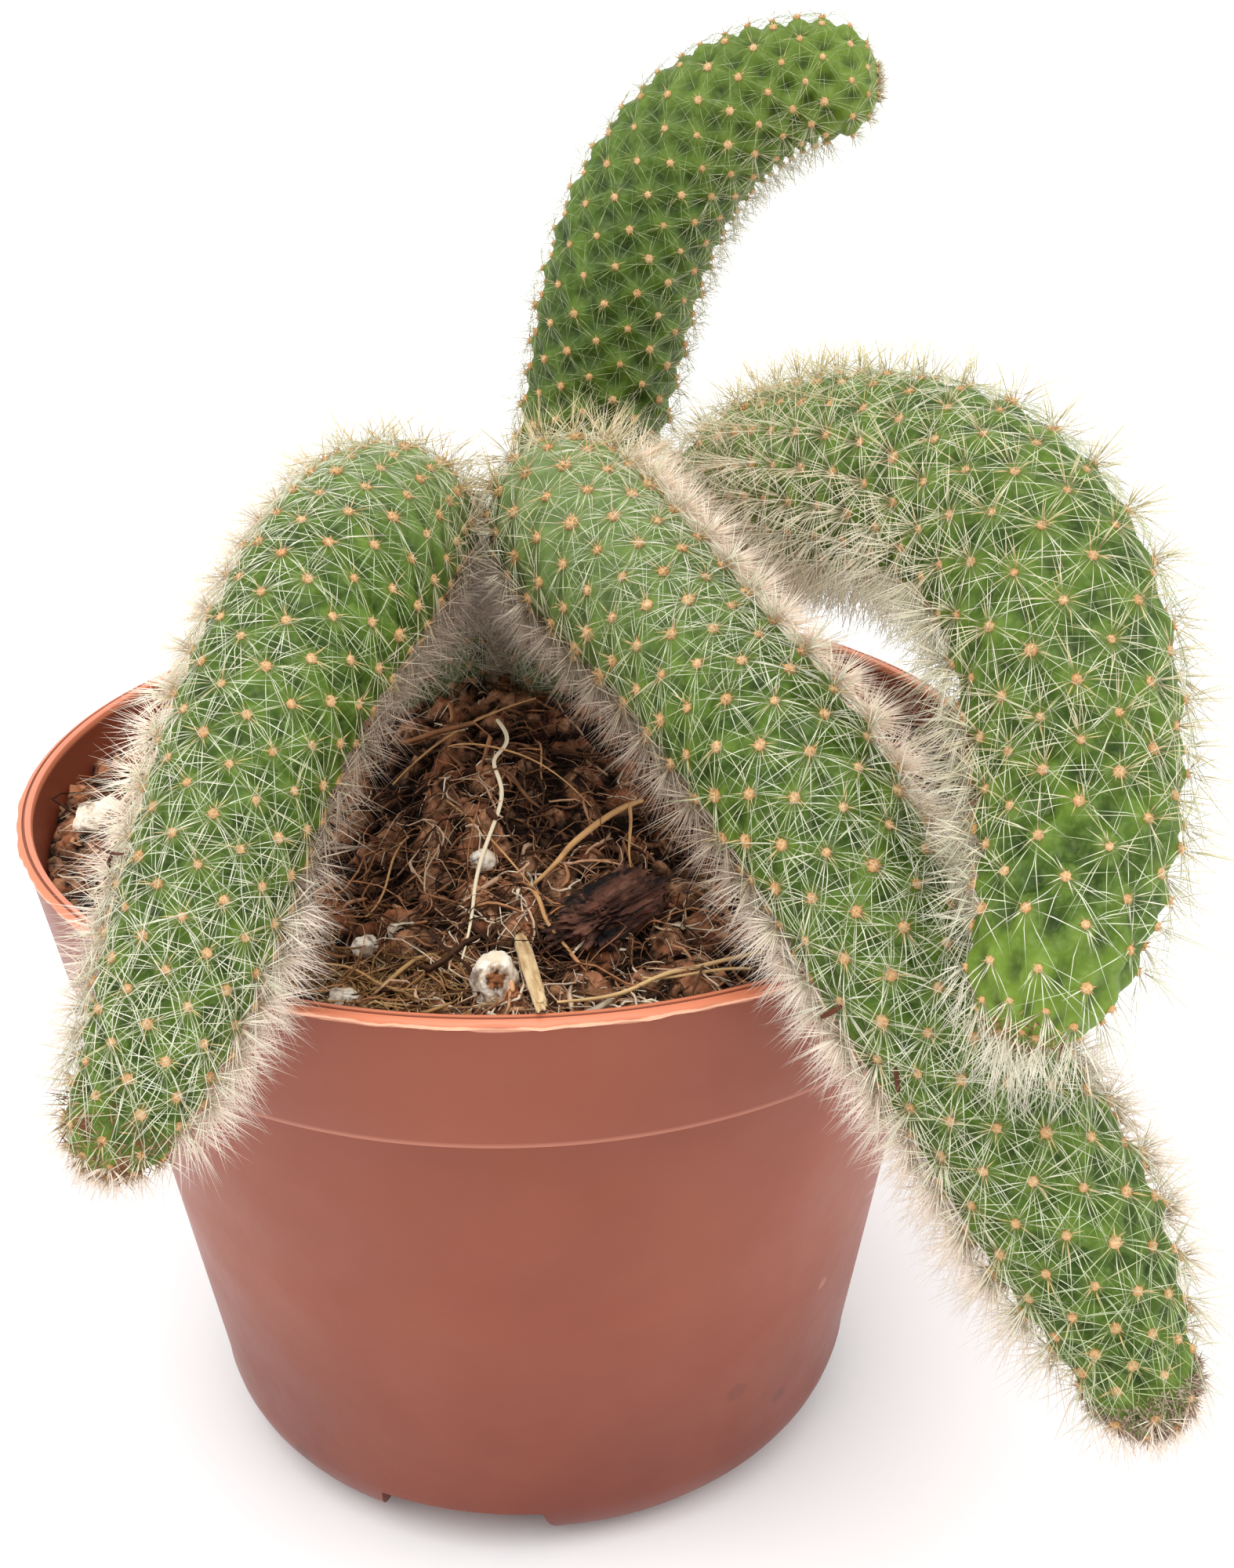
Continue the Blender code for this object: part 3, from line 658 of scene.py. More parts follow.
finishPiece(buildSoil(), "soilMound", "soil", soilFinish(), "soil")
rng = np.random.default_rng(11)
coirFinish = fibreFinish("coir fibre", srgb(36, 15, 9), srgb(206, 146, 102), srgb(255, 238, 210))
soilFibres("coirFibres", rng, spreadSpots(rng, soil["fibres"]), 14, 1.0, coirFinish)
tangle = rng.normal(soil["tangleAt"], soil["tangleSpread"], (soil["tangle"], 2)) * mm
tangleFinish = fibreFinish("tan fibre", srgb(120, 84, 48), srgb(190, 148, 96), srgb(226, 192, 140))
soilFibres("curledFibres", rng, tangle, 9, 2.2, tangleFinish)
soilChips()
print("soil made")


# roots and sticks that lie on the soil

def layTube(name, points, radii, finish, slot="soil", sides=3):
    # a strand along x, y and height over the soil, in mm, with a radius at each point
    bpy.ops.curve.primitive_nurbs_path_add()
    item = bpy.context.object
    path = item.data
    path.splines.clear()
    spline = path.splines.new("NURBS")
    spline.points.add(len(points) - 1)
    for point, (x, y, up), radius in zip(spline.points, points, radii):
        point.co = (x * mm, y * mm, soilHeight(x * mm, y * mm) + up * mm, 1)
        point.radius = radius
    spline.use_endpoint_u = True
    spline.order_u = 4
    spline.resolution_u = 6
    path.dimensions = "3D"
    path.bevel_depth = mm
    path.bevel_resolution = sides
    path.use_fill_caps = True
    onlySelect(item)
    bpy.ops.object.convert(target="MESH")
    item = bpy.context.object
    bpy.ops.object.mode_set(mode="EDIT")
    bpy.ops.mesh.select_all(action="SELECT")
    bpy.ops.mesh.remove_doubles(threshold=0.000001)
    bpy.ops.mesh.normals_make_consistent(inside=False)
    bpy.ops.object.mode_set(mode="OBJECT")
    addAttribute(item, "tone", [0.5] * len(item.data.vertices))
    return finishPiece(item, name, slot, finish)


rootFinish = fibreFinish("pale root", srgb(228, 188, 140), srgb(255, 240, 208), srgb(255, 246, 222), 0.0)
strawRoot = fibreFinish("straw root", srgb(196, 150, 98), srgb(232, 196, 140), srgb(242, 214, 168), 0.2)
twigFinish = fibreFinish("dry twig", srgb(138, 88, 54), srgb(216, 168, 114), srgb(226, 188, 136))

# points in x, y and height over the soil, then a radius at each, in mm
strands = {
    "whiteRoot": (
        rootFinish,
        [(-1.7, -6.0, 2.0), (-0.4, -8.2, 1.9), (-0.3, -10.0, 1.8), (-1.9, -12.4, 1.9),
         (-1.0, -14.6, 2.0), (-0.2, -17.0, 2.0), (-0.7, -20.0, 2.0), (-1.7, -24.0, 2.2),
         (-2.3, -29.0, 1.8), (-1.9, -33.5, 1.8), (-2.6, -38.5, 1.4)],
        [0.2, 0.24, 0.2, 0.2, 0.22, 0.21, 0.2, 0.2, 0.19, 0.15, 0.08]),
    "dryRoot": (
        twigFinish,
        [(13.5, -16.0, 2.2), (12.2, -17.6, 2.7), (9.8, -19.2, 2.2), (8.4, -21.4, 2.5),
         (6.2, -23.2, 1.9), (5.4, -25.8, 2.2), (2.6, -28.2, 1.2)],
        [0.2, 0.34, 0.3, 0.36, 0.28, 0.26, 0.14]),
    "dryRootFork": (
        twigFinish,
        [(12.2, -17.4, 2.6), (12.8, -20.0, 2.2), (12.0, -22.0, 2.3), (12.6, -24.6, 1.5)],
        [0.2, 0.16, 0.14, 0.07]),
    "dryRootSplit": (
        twigFinish,
        [(3.0, -27.8, 1.3), (4.4, -30.4, 2.0), (4.2, -33.0, 1.6), (7.2, -36.4, 1.7), (8.8, -39.0, 1.2)],
        [0.2, 0.24, 0.2, 0.17, 0.08]),
    "frontRootLong": (
        strawRoot,
        [(25.0, -35.0, 1.4), (22.0, -37.4, 1.9), (18.5, -39.2, 1.5), (15.5, -40.6, 1.9),
         (12.5, -43.2, 1.8), (9.5, -46.6, 3.2), (7.0, -49.8, 5.2)],
        [0.22, 0.2, 0.19, 0.2, 0.2, 0.17, 0.1]),
    "frontRootShort": (
        strawRoot,
        [(24.0, -37.0, 0.9), (20.0, -38.8, 1.7), (16.5, -41.0, 1.2), (14.0, -40.2, 1.3)],
        [0.16, 0.16, 0.14, 0.08]),
    "archRoot": (
        twigFinish,
        [(-6.6, -9.2, 1.6), (-4.6, -10.6, 2.6), (-1.0, -11.5, 2.8), (4.5, -13.0, 2.6),
         (8.5, -17.0, 1.5)],
        [0.07, 0.11, 0.1, 0.08, 0.05]),
    "leanRoot": (
        twigFinish,
        [(-6.0, -16.5, 1.2), (-2.0, -21.0, 2.1), (1.0, -24.5, 1.4), (4.0, -29.5, 1.8)],
        [0.09, 0.13, 0.12, 0.06]),
    "topStrand": (
        twigFinish,
        [(-12.0, -12.0, 1.0), (-7.5, -8.0, 2.6), (-3.0, -5.0, 2.4), (2.0, -2.0, 2.2)],
        [0.1, 0.16, 0.13, 0.07]),
    "crossTwig": (
        rootFinish,
        [(7.4, -37.0, 1.4), (9.2, -35.0, 2.2), (11.0, -33.4, 2.4)],
        [0.12, 0.18, 0.1]),
    "curlOne": (
        twigFinish,
        [(-20.0, -36.0, 1.2), (-18.6, -39.6, 1.9), (-17.8, -42.2, 1.4), (-14.8, -43.6, 1.6),
         (-12.8, -41.6, 1.2)],
        [0.09, 0.14, 0.12, 0.11, 0.06]),
    "curlTwo": (
        twigFinish,
        [(-16.4, -38.0, 1.3), (-13.6, -38.6, 2.2), (-10.8, -39.8, 1.5), (-8.6, -43.0, 1.7),
         (-5.4, -42.4, 1.2)],
        [0.08, 0.13, 0.13, 0.1, 0.06]),
    "curlThree": (
        twigFinish,
        [(-9.6, -20.6, 1.4), (-11.6, -24.4, 2.2), (-9.8, -28.0, 1.5), (-12.2, -31.6, 1.2)],
        [0.08, 0.14, 0.11, 0.06]),
}
for name, (finish, points, radii) in strands.items():
    layTube(name, points, radii, finish)

# dry bits that hang in the spines, in x, y and height over the ground
debrisFinish = fibreFinish("dry debris", srgb(52, 26, 18), srgb(96, 54, 36), srgb(140, 90, 60))
debris = {
    "caughtRod": ([(34.6, -61.9, 78.9), (34.7, -62.0, 77.9), (34.9, -62.1, 76.8)], [0.16, 0.26, 0.17]),
    "caughtFlake": ([(28.9, -57.8, 81.0), (29.7, -58.6, 82.0), (30.3, -59.2, 82.9)], [0.16, 0.4, 0.13]),
    "caughtTwig": ([(-30.3, -52.6, 93.4), (-28.9, -52.8, 92.6), (-27.2, -55.2, 94.0)], [0.1, 0.19, 0.1]),
    "caughtFork": ([(-28.9, -52.8, 92.6), (-29.3, -53.2, 92.1), (-28.8, -54.0, 91.6)], [0.14, 0.19, 0.1]),
}
for name, (points, radii) in debris.items():
    overSoil = [(x, y, up - soilHeight(x * mm, y * mm) / mm) for x, y, up in points]
    layTube(name, overSoil, radii, debrisFinish, "stem", 1)


# perlite, bark and straw

lumps = {
    "perlite_1": {"at": (0.9, -42.0, 1.9), "size": (4.3, 5.0, 5.2), "turn": 8},
    "perlite_2": {"at": (-12.7, -43.1, 0.6), "size": (3.2, 2.6, 2.4), "turn": 20},
    "perlite_3": {"at": (-11.9, -34.8, 0.5), "size": (2.8, 2.3, 2.0), "turn": 70},
    "perlite_4": {"at": (-1.8, -23.4, 0.5), "size": (2.7, 2.6, 2.4), "turn": 160},
    "bark_chip": {"at": (10.9, -31.2, 1.7), "size": (12.4, 5.6, 4.0), "turn": 54,
                  "look": "bark", "rough": 0.5},
    "straw_chip": {"at": (4.0, -42.0, 3.2), "size": (19.0, 1.5, 0.8), "turn": -79.5, "tilt": 9,
                   "look": "straw", "rough": 0.12},
    # one more pale lump behind the left stem, which no solid stands for
    "leftLump": {"at": (-43.4, -8.8, 1.6), "size": (5.6, 4.8, 4.4), "turn": 30, "rough": 0.3, "replaces": []},
}


def alongGrain(tree, place, turn, stretch):
    # places stretched along one direction, so that a noise becomes a grain
    spun = newNode(tree, "ShaderNodeMapping", Vector=place, vector_type="TEXTURE")
    spun.inputs["Rotation"].default_value = (0, 0, math.radians(turn))
    spun.inputs["Scale"].default_value = (stretch, 1, 1)
    return spun.outputs[0]


def perliteFinish():
    finish, tree, shader, place = newFinish("perlite", 0.9, 0.2)
    shade = useGroup(tree, mottle, Place=place, Scale=900.0, Low=0.4, High=0.6,
                     First=srgb(240, 222, 196), Second=srgb(255, 249, 236))
    dirt = ramp(tree, noiseNode(tree, place, 420.0), 0.53, 0.62, 0.0, 0.75)
    shade = mixColour(tree, dirt, shade, srgb(98, 64, 44))
    # a hollow is painted in browns on the large lump's front
    x, y, up = lumps["perlite_1"]["at"]
    front = (x * mm + 0.0003, y * mm - 0.0021, soilHeight(x * mm, y * mm) + up * mm + 0.0013)
    far = newNode(tree, "ShaderNodeVectorMath", operation="DISTANCE", in0=place, in1=front).outputs["Value"]
    ragged = times(tree, noiseNode(tree, place, 900.0, 4.0, 0.7), 0.0026)
    hollow = ramp(tree, mathNode(tree, "ADD", far, ragged), 0.0028, 0.0021)
    grain = ramp(tree, noiseNode(tree, place, 1500.0), 0.42, 0.58)
    brown = mixColour(tree, grain, srgb(66, 36, 22), srgb(158, 104, 66))
    shade = mixColour(tree, hollow, shade, brown)
    feed(tree, shade, shader, "Base Color")
    feedBump(tree, noiseNode(tree, place, 1800.0), shader, 0.7, 0.0003)
    return finish


def barkFinish():
    finish, tree, shader, place = newFinish("bark", 0.8, 0.3)
    grain = noiseNode(tree, alongGrain(tree, place, 52, 6), 700.0, 4.0, 0.65)
    shade = mixColour(tree, ramp(tree, grain, 0.38, 0.62), srgb(9, 4, 4), srgb(116, 74, 58))
    worn = ramp(tree, noiseNode(tree, place, 380.0, 2.0), 0.54, 0.66, 0.0, 0.6)
    shade = mixColour(tree, worn, shade, srgb(150, 104, 84))
    feed(tree, shade, shader, "Base Color")
    feedBump(tree, grain, shader, 1.0, 0.0009)
    return finish


def strawFinish():
    finish, tree, shader, place = newFinish("straw", 0.75, 0.3)
    grain = noiseNode(tree, alongGrain(tree, place, lumps["straw_chip"]["turn"], 14), 1500.0)
    shade = mixColour(tree, ramp(tree, grain, 0.36, 0.62), srgb(190, 150, 102), srgb(238, 210, 164))
    brown = ramp(tree, noiseNode(tree, place, 300.0, 2.0), 0.6, 0.72, 0.0, 0.4)
    shade = mixColour(tree, brown, shade, srgb(110, 70, 42))
    feed(tree, shade, shader, "Base Color")
    feedBump(tree, grain, shader, 0.5, 0.0003)
    return finish


lumpFinishes = {"perlite": perliteFinish(), "bark": barkFinish(), "straw": strawFinish()}


def blunted(value, power):
    # pushes a round shape towards a box
    return math.copysign(abs(value) ** power, value)


def barkShape(spot, shift):
    # furrows that run along the chip, and how far they raise its surface
    furrows = 0.55 * abs(noise.noise(Vector((spot.x * 1.6, spot.y * 4.5, spot.z * 4.5)) + shift)) - 0.12
    ridges = 0.42 * abs(noise.noise(Vector((spot.x * 3.5, spot.y * 11, spot.z * 11)) + shift)) - 0.1
    fine = 0.3 * noise.noise(Vector((spot.x * 5, spot.y * 16, spot.z * 16)) + shift)
    return Vector([blunted(part, 0.75) for part in spot]), furrows + ridges + fine


def strawShape(spot):
    # a split sliver keeps its width almost to its ends
    ragged = 1 + 0.22 * noise.noise(Vector((3, spot.y * 5, spot.z * 5)))
    return Vector((blunted(spot.x, 0.8) * ragged, blunted(spot.y, 0.45) * 0.92, blunted(spot.z, 0.6)))


def buildLump(name, piece):
    look, rough = piece.get("look", "perlite"), piece.get("rough", 0.2)
    x, y, up = (side * mm for side in piece["at"])
    bpy.ops.mesh.primitive_ico_sphere_add(subdivisions=5 if look == "bark" else 4, radius=1)
    item = bpy.context.object
    shift = Vector(piece["at"])
    for vertex in item.data.vertices:
        spot = vertex.co.copy()
        bump = rough * noise.noise(spot * 1.7 + shift) + 0.09 * noise.noise(spot * 4 + shift)
        bump += 0.04 * noise.noise(spot * 10 + shift)
        if look == "bark":
            spot, furrows = barkShape(spot, shift)
            bump += furrows
        if look == "straw":
            spot = strawShape(spot)
        vertex.co = spot * (1 + bump)
    item.scale = [side / 2 * mm for side in piece["size"]]
    applyPlace(item)
    tilt = Matrix.Rotation(math.radians(-piece.get("tilt", 0)), 4, "Y")
    turn = Matrix.Rotation(math.radians(piece["turn"]), 4, "Z")
    item.matrix_world = Matrix.Translation((x, y, soilHeight(x, y) + up)) @ turn @ tilt
    applyPlace(item)
    return finishPiece(item, name + "_fine", look, lumpFinishes[look], *piece.get("replaces", [name]))


for name, piece in lumps.items():
    buildLump(name, piece)
print("roots and lumps made")


# the stems

# columns for each rib and rows for each ring of areoles in a stem's skin, and its rounded tip
stemShape = {"columns": 5, "rows": 3, "ribsStart": 2.0, "domeRows": 12, "domeTurns": (30, 55, 75),
             "youngFrom": 0.8, "finePoints": 1500}

# Each point of a stem's line is x, y, z and the radius there, in mm. A pair in cover and beard is
# a share of the stem's length, foot to tip, and the share of spines that grow there.
stems = {
    "stem_left": {
        "ribs": 16, "pitch": 4.1, "relief": 0.12, "dome": 6.0, "seed": 3,
        # radial, central, short and beard spines at each areole, and the rise of the central ones
        "counts": (18, 2, 3, 36), "upright": (10, 50), "spine": 1.0, "thick": 0.88, "wool": 0.92,
        # how bright, golden and creamy the spines are, and whether the tip has a brush of them
        "bright": (0.25, 1.0), "gold": 0.2, "cream": 1.0, "brush": 0.0,
        # the skin: share that is young, bloomed and darkened, and whether its tip is scarred
        "fresh": 0.03, "bloom": 0.4, "dark": 0.0, "scar": 1.0,
        # felt on the tip: how many hairs, from which turn on, how tall
        "felt": (500, 8, 1.2), "feltLook": "brown",
        # the way to the light, how much more beard its right side has and where along the stem,
        # and where its crown is and how golden
        "shine": (0.12, -0.6, 0.8), "side": (-1.0, 0.36, 0.8), "crown": (0.32, 1.0),
        "cover": ((0.93, 1.0), (0.97, 0.5)), "beard": ((0.0, 0.9), (0.5, 1.1), (0.93, 1.3), (0.96, 0.2)),
        "line": [(-9.6, 11.0, 70.0, 5.0), (-10.0, 11.2, 84.0, 5.8), (-10.8, 8.6, 94.0, 7.0),
                 (-11.6, 0.5, 102.8, 8.2), (-12.3, -11.5, 106.4, 8.7), (-14.2, -25.0, 105.6, 9.0),
                 (-17.6, -38.2, 100.6, 8.1), (-20.6, -48.6, 92.6, 7.4), (-23.2, -57.0, 84.0, 6.7),
                 (-25.6, -62.0, 77.8, 5.6), (-29.0, -66.4, 71.0, 3.2)],
    },
    "stem_middle": {
        "ribs": 16, "pitch": 4.6, "relief": 0.12, "dome": 5.5, "seed": 5,
        "counts": (20, 3, 3, 50), "upright": (10, 60), "spine": 1.0, "thick": 0.95, "wool": 1.0,
        "bright": (0.2, 1.0), "gold": 0.22, "cream": 1.0, "brush": 0.0,
        "fresh": 0.04, "bloom": 0.4, "dark": 0.0, "scar": 0.0,
        "felt": (2600, 13, 0.75), "feltLook": "grey",
        "shine": (-0.25, -0.6, 0.8), "side": (0.95, 0.3, 0.66), "crown": (0.24, 1.0),
        "cover": ((0.78, 1.0), (0.87, 0.7), (0.93, 0.6), (0.96, 0.3)),
        "beard": ((0.0, 0.8), (0.26, 1.5), (0.66, 1.6), (0.9, 1.0), (0.95, 0.2)),
        "line": [(4.2, 9.6, 70.0, 5.0), (4.6, 10.4, 84.0, 5.8), (4.9, 10.0, 94.0, 7.0),
                 (5.2, 4.5, 102.6, 8.1), (7.0, -6.0, 105.2, 8.5), (13.4, -18.5, 102.8, 8.3),
                 (20.6, -31.0, 99.0, 7.8), (26.2, -40.6, 95.4, 8.0), (31.0, -47.6, 89.9, 7.5),
                 (35.4, -52.9, 83.0, 6.9), (39.7, -55.4, 77.2, 7.0), (45.0, -58.2, 70.6, 7.7),
                 (49.6, -60.3, 63.6, 7.9), (54.0, -62.0, 54.9, 6.3), (58.3, -65.1, 45.2, 3.5)],
    },
    "stem_right": {
        "ribs": 18, "pitch": 5.4, "relief": 0.13, "dome": 5.5, "seed": 7,
        "counts": (14, 9, 3, 22), "upright": (38, 86), "spine": 1.12, "thick": 0.88, "wool": 0.88,
        "bright": (0.1, 0.9), "gold": 0.5, "cream": 0.5, "brush": 1.0,
        "fresh": 0.05, "bloom": 0.2, "dark": 0.0, "scar": 0.0,
        "felt": (160, 60, 1.2), "feltLook": "brown",
        "shine": (0.2, -0.6, 0.8), "side": (-0.2, 0.3, 0.7), "crown": (0.4, 0.5),
        "cover": ((0.85, 1.0), (0.95, 0.32)),
        "beard": ((0.0, 0.4), (0.4, 0.5), (0.6, 0.75), (0.82, 0.45), (1.0, 0.15)),
        "line": [(19.4, 19.0, 70.0, 5.2), (19.6, 19.8, 84.0, 6.2), (20.6, 20.0, 94.0, 7.8),
                 (24.8, 14.5, 102.8, 8.9), (30.2, 3.0, 108.6, 9.4), (35.0, -12.0, 112.8, 9.4),
                 (40.8, -25.0, 115.2, 9.1), (45.4, -37.0, 113.8, 9.0), (47.6, -47.5, 108.6, 8.8),
                 (48.2, -54.8, 101.2, 8.3), (47.3, -60.7, 96.2, 7.6), (45.5, -65.2, 92.0, 6.4),
                 (42.6, -70.4, 86.7, 3.9)],
    },
    "stem_back": {
        "ribs": 18, "pitch": 3.95, "relief": 0.16, "dome": 4.8, "seed": 9,
        "counts": (12, 1, 2, 12), "upright": (10, 50), "spine": 0.74, "thick": 0.54, "wool": 0.82,
        "bright": (-1.0, -0.1), "gold": 0.1, "cream": 0.5, "brush": 0.0,
        "fresh": 0.3, "bloom": 0.0, "dark": 0.15, "scar": 0.0,
        "felt": (60, 70, 1.2), "feltLook": "brown",
        "shine": (0.0, -0.6, 0.8), "side": (0.0, 0.3, 0.7), "crown": (0.5, 0.0),
        "cover": ((0.0, 1.0), (1.0, 1.0)), "beard": ((0.0, 1.3), (1.0, 1.0)),
        "line": [(2.6, 33.5, 70.0, 5.2), (3.0, 33.8, 84.0, 6.4), (5.0, 32.6, 98.0, 8.0),
                 (8.0, 30.8, 112.0, 8.7), (11.8, 30.0, 127.0, 8.9), (18.4, 29.8, 137.6, 8.3),
                 (25.0, 29.4, 142.2, 7.5), (31.6, 29.2, 144.0, 6.5), (37.9, 28.6, 143.9, 6.0)],
    },
}


def smoothLine(points, spacing, finer):
    # rows of x, y, z and radius on a natural cubic through the points, even apart
    rows = np.array(points) * mm
    spans = np.linalg.norm(np.diff(rows[:, :3], axis=0), axis=1)
    stations = np.concatenate([[0.0], np.cumsum(spans)])
    count = len(rows)
    system, right = np.eye(count), np.zeros_like(rows)
    for mid in range(1, count - 1):
        before, after = spans[mid - 1], spans[mid]
        system[mid, mid - 1:mid + 2] = before, 2 * (before + after), after
        right[mid] = 6 * ((rows[mid + 1] - rows[mid]) / after - (rows[mid] - rows[mid - 1]) / before)
    bends = np.linalg.solve(system, right)
    places = np.linspace(0.0, stations[-1], stemShape["finePoints"])
    part = np.clip(np.searchsorted(stations, places) - 1, 0, count - 2)
    span, done = spans[part][:, None], (places - stations[part])[:, None]
    left = span - done
    fine = (bends[part] * left ** 3 + bends[part + 1] * done ** 3) / (6 * span)
    leftPull, rightPull = (rows[end] / span - bends[end] * span / 6 for end in (part, part + 1))
    fine += leftPull * left + rightPull * done
    travelled = np.concatenate([[0.0], np.cumsum(np.linalg.norm(np.diff(fine[:, :3], axis=0), axis=1))])
    wanted = np.linspace(0.0, travelled[-1], 1 + finer * round(travelled[-1] / spacing))
    return np.stack([np.interp(wanted, travelled, fine[:, column]) for column in range(4)], axis=1)


def sweepRows(stem):
    # every row of a stem's skin: centre, radius, frame, place in the areole pattern
    finer = stemShape["rows"]
    line = smoothLine(stem["line"], stem["pitch"] * mm / 2, finer)
    tangents = unit(np.gradient(line[:, :3], axis=0))
    across = np.cross((0.0, 1.0, 0.0), tangents[0])
    sides = []
    for tangent in tangents:
        across = across - tangent * across.dot(tangent)
        across = across / np.linalg.norm(across)
        sides.append(across)
    sides = np.array(sides)
    step = np.linalg.norm(line[1, :3] - line[0, :3])
    ringStep = step * finer
    lastRing = int((step * (len(line) - 1) - stem["dome"] * mm) / ringStep)
    last = lastRing * finer
    along = np.arange(last + 1) * step
    turns = np.linspace(0, 90, stemShape["domeRows"] + 1)[1:]
    rise, fall = np.sin(np.radians(turns)), np.cos(np.radians(turns))
    tip, top = line[-1, :3], line[last, :3]
    ringTurns = (0, *stemShape["domeTurns"], 90)
    rings = np.interp(turns, ringTurns, lastRing + np.arange(len(ringTurns)))
    same = np.ones(len(turns))[:, None]
    ribbed = np.clip((along - stemShape["ribsStart"] * mm) / (stem["pitch"] * mm), 0, 1)
    return {
        "centre": np.concatenate([line[:last + 1, :3], top + (tip - top) * rise[:, None]]),
        "radius": np.concatenate([line[:last + 1, 3], line[last, 3] * fall]),
        "ribbed": np.concatenate([ribbed, fall]),
        "lean": np.concatenate([np.zeros(last + 1), rise]),
        "tangent": np.concatenate([tangents[:last + 1], tangents[last] * same]),
        "sideA": np.concatenate([sides[:last + 1], sides[last] * same]),
        "ring": np.concatenate([np.arange(last + 1) / finer, rings]),
        "along": np.concatenate([along, along[-1] + stem["dome"] * mm * rise]),
        "line": line,
    }


def tubercleHeight(rib, ring):
    # 1 on an areole, 0 in the hollow between four of them
    wave = 0.5 + 0.5 * np.cos(np.pi * rib) * np.cos(np.pi * ring)
    return wave ** 0.85


def buildSkin(stem, rows):
    columns = stem["ribs"] * stemShape["columns"]
    count = len(rows["radius"])
    bpy.ops.mesh.primitive_uv_sphere_add(segments=columns, ring_count=count, radius=1)
    item = bpy.context.object
    points = np.array([vertex.co[:] for vertex in item.data.vertices])
    row = np.rint(count * (1 - np.arccos(np.clip(points[:, 2], -1, 1)) / math.pi)).astype(int) - 1
    turn = np.arctan2(points[:, 1], points[:, 0])
    pole = np.hypot(points[:, 0], points[:, 1]) < 1e-5
    row = np.where(pole, np.where(points[:, 2] > 0, count - 1, 0), row)
    sideA, tangent = rows["sideA"][row], rows["tangent"][row]
    sideB = np.cross(tangent, sideA)
    outward = sideA * np.cos(turn)[:, None] + sideB * np.sin(turn)[:, None]
    height = tubercleHeight(turn / math.tau * stem["ribs"], rows["ring"][row])
    height = np.where(rows["ribbed"][row] > 0.02, height, 1.0)
    # the young knobs at the growing tip stand out more
    share = rows["along"][row] / rows["along"][-1]
    relief = stem["relief"] * (1 + 0.9 * np.clip((share - stemShape["youngFrom"]) / 0.1, 0, 1))
    scale = 1 - relief * (1 - height) * rows["ribbed"][row]
    radius = np.where(pole, 0.0, rows["radius"][row] * scale)
    spots = rows["centre"][row] + outward * radius[:, None]
    item.data.vertices.foreach_set("co", spots.reshape(-1).astype(np.float32))
    addAttribute(item, "crest", height)
    addAttribute(item, "along", share)
    return item


def areolesOf(stem, rows):
    # the place, outward and forward directions, share along and lean of each areole above the soil
    found = []
    lastRing = int(rows["ring"][np.nonzero(rows["lean"] == 0)[0][-1]])
    for ring in range(1, lastRing + 1 + len(stemShape["domeTurns"])):
        row = ring * stemShape["rows"] if ring <= lastRing else int(np.argmin(np.abs(rows["ring"] - ring)))
        sideA, tangent, lean = rows["sideA"][row], rows["tangent"][row], rows["lean"][row]
        # every other rib has an areole on this ring
        for rib in range(ring % 2, stem["ribs"], 2):
            turn = math.tau * rib / stem["ribs"]
            outward = sideA * math.cos(turn) + np.cross(tangent, sideA) * math.sin(turn)
            spot = rows["centre"][row] + outward * rows["radius"][row]
            normal = unit(outward * (1 - lean) + tangent * lean)
            forward = unit(tangent - outward * lean * 0.8)
            outside = math.hypot(spot[0], spot[1]) > pot["lipIn"] * mm
            if outside or spot[2] > soilHeight(spot[0], spot[1]) + 0.6 * mm:
                found.append((*spot, *normal, *forward, rows["along"][row] / rows["along"][-1], lean))
    return np.array(found)


def skinFinish(name, stem):
    finish, tree, shader, place = newFinish(name, 0.5, 0.22)
    shade = useGroup(tree, mottle, Place=place, Scale=260.0, Low=0.36, High=0.64,
                     First=srgb(50, 74, 14), Second=srgb(88, 116, 32))
    crest, along = ownLabel(tree, "crest"), ownLabel(tree, "along")
    young = ramp(tree, along, 1 - stem["fresh"], 1.0, 0.0, 0.85)
    shade = mixColour(tree, young, shade, srgb(112, 138, 42))
    # painted shade darkens the hollows; the crests are paler, partly painted light and partly pale bloom
    shade = mixColour(tree, ramp(tree, crest, 0.5, 0.0, 0.0, 0.75), shade, srgb(20, 36, 6))
    shade = mixColour(tree, ramp(tree, crest, 0.6, 1.0, 0.0, 0.42), shade, srgb(132, 156, 64))
    fine = ramp(tree, noiseNode(tree, place, 1500.0, 2.0), 0.45, 0.7, 0.0, 0.22)
    shade = mixColour(tree, fine, shade, srgb(150, 176, 96))
    shade = mixColour(tree, stem["dark"], shade, srgb(44, 56, 32))
    bloom = ramp(tree, along, 0.55, 0.35, 0.0, stem["bloom"])
    shade = mixColour(tree, bloom, shade, srgb(150, 172, 112))
    dry = ramp(tree, noiseNode(tree, place, 330.0), 0.5, 0.58)
    scar = times(tree, ramp(tree, along, 0.94, 0.97), dry, stem["scar"])
    shade = mixColour(tree, scar, shade, srgb(116, 72, 46))
    feed(tree, shade, shader, "Base Color")
    feedBump(tree, noiseNode(tree, place, 1300.0), shader, 0.25, 0.0002)
    return finish


def spinePattern():
    # a needle of six faces, pointed at both ends, whose root end is sunk in the wool
    widest = 0.3
    bpy.ops.mesh.primitive_cone_add(vertices=3, radius1=1, radius2=0, depth=1 - widest,
                                    end_fill_type="TRIFAN", location=(0, 0, (1 + widest) / 2))
    item = bpy.context.object
    applyPlace(item)
    for vertex in item.data.vertices:
        if vertex.co.z < 0.5 and math.hypot(vertex.co.x, vertex.co.y) < 0.01:
            vertex.co.z = 0
    return patternOf(item)


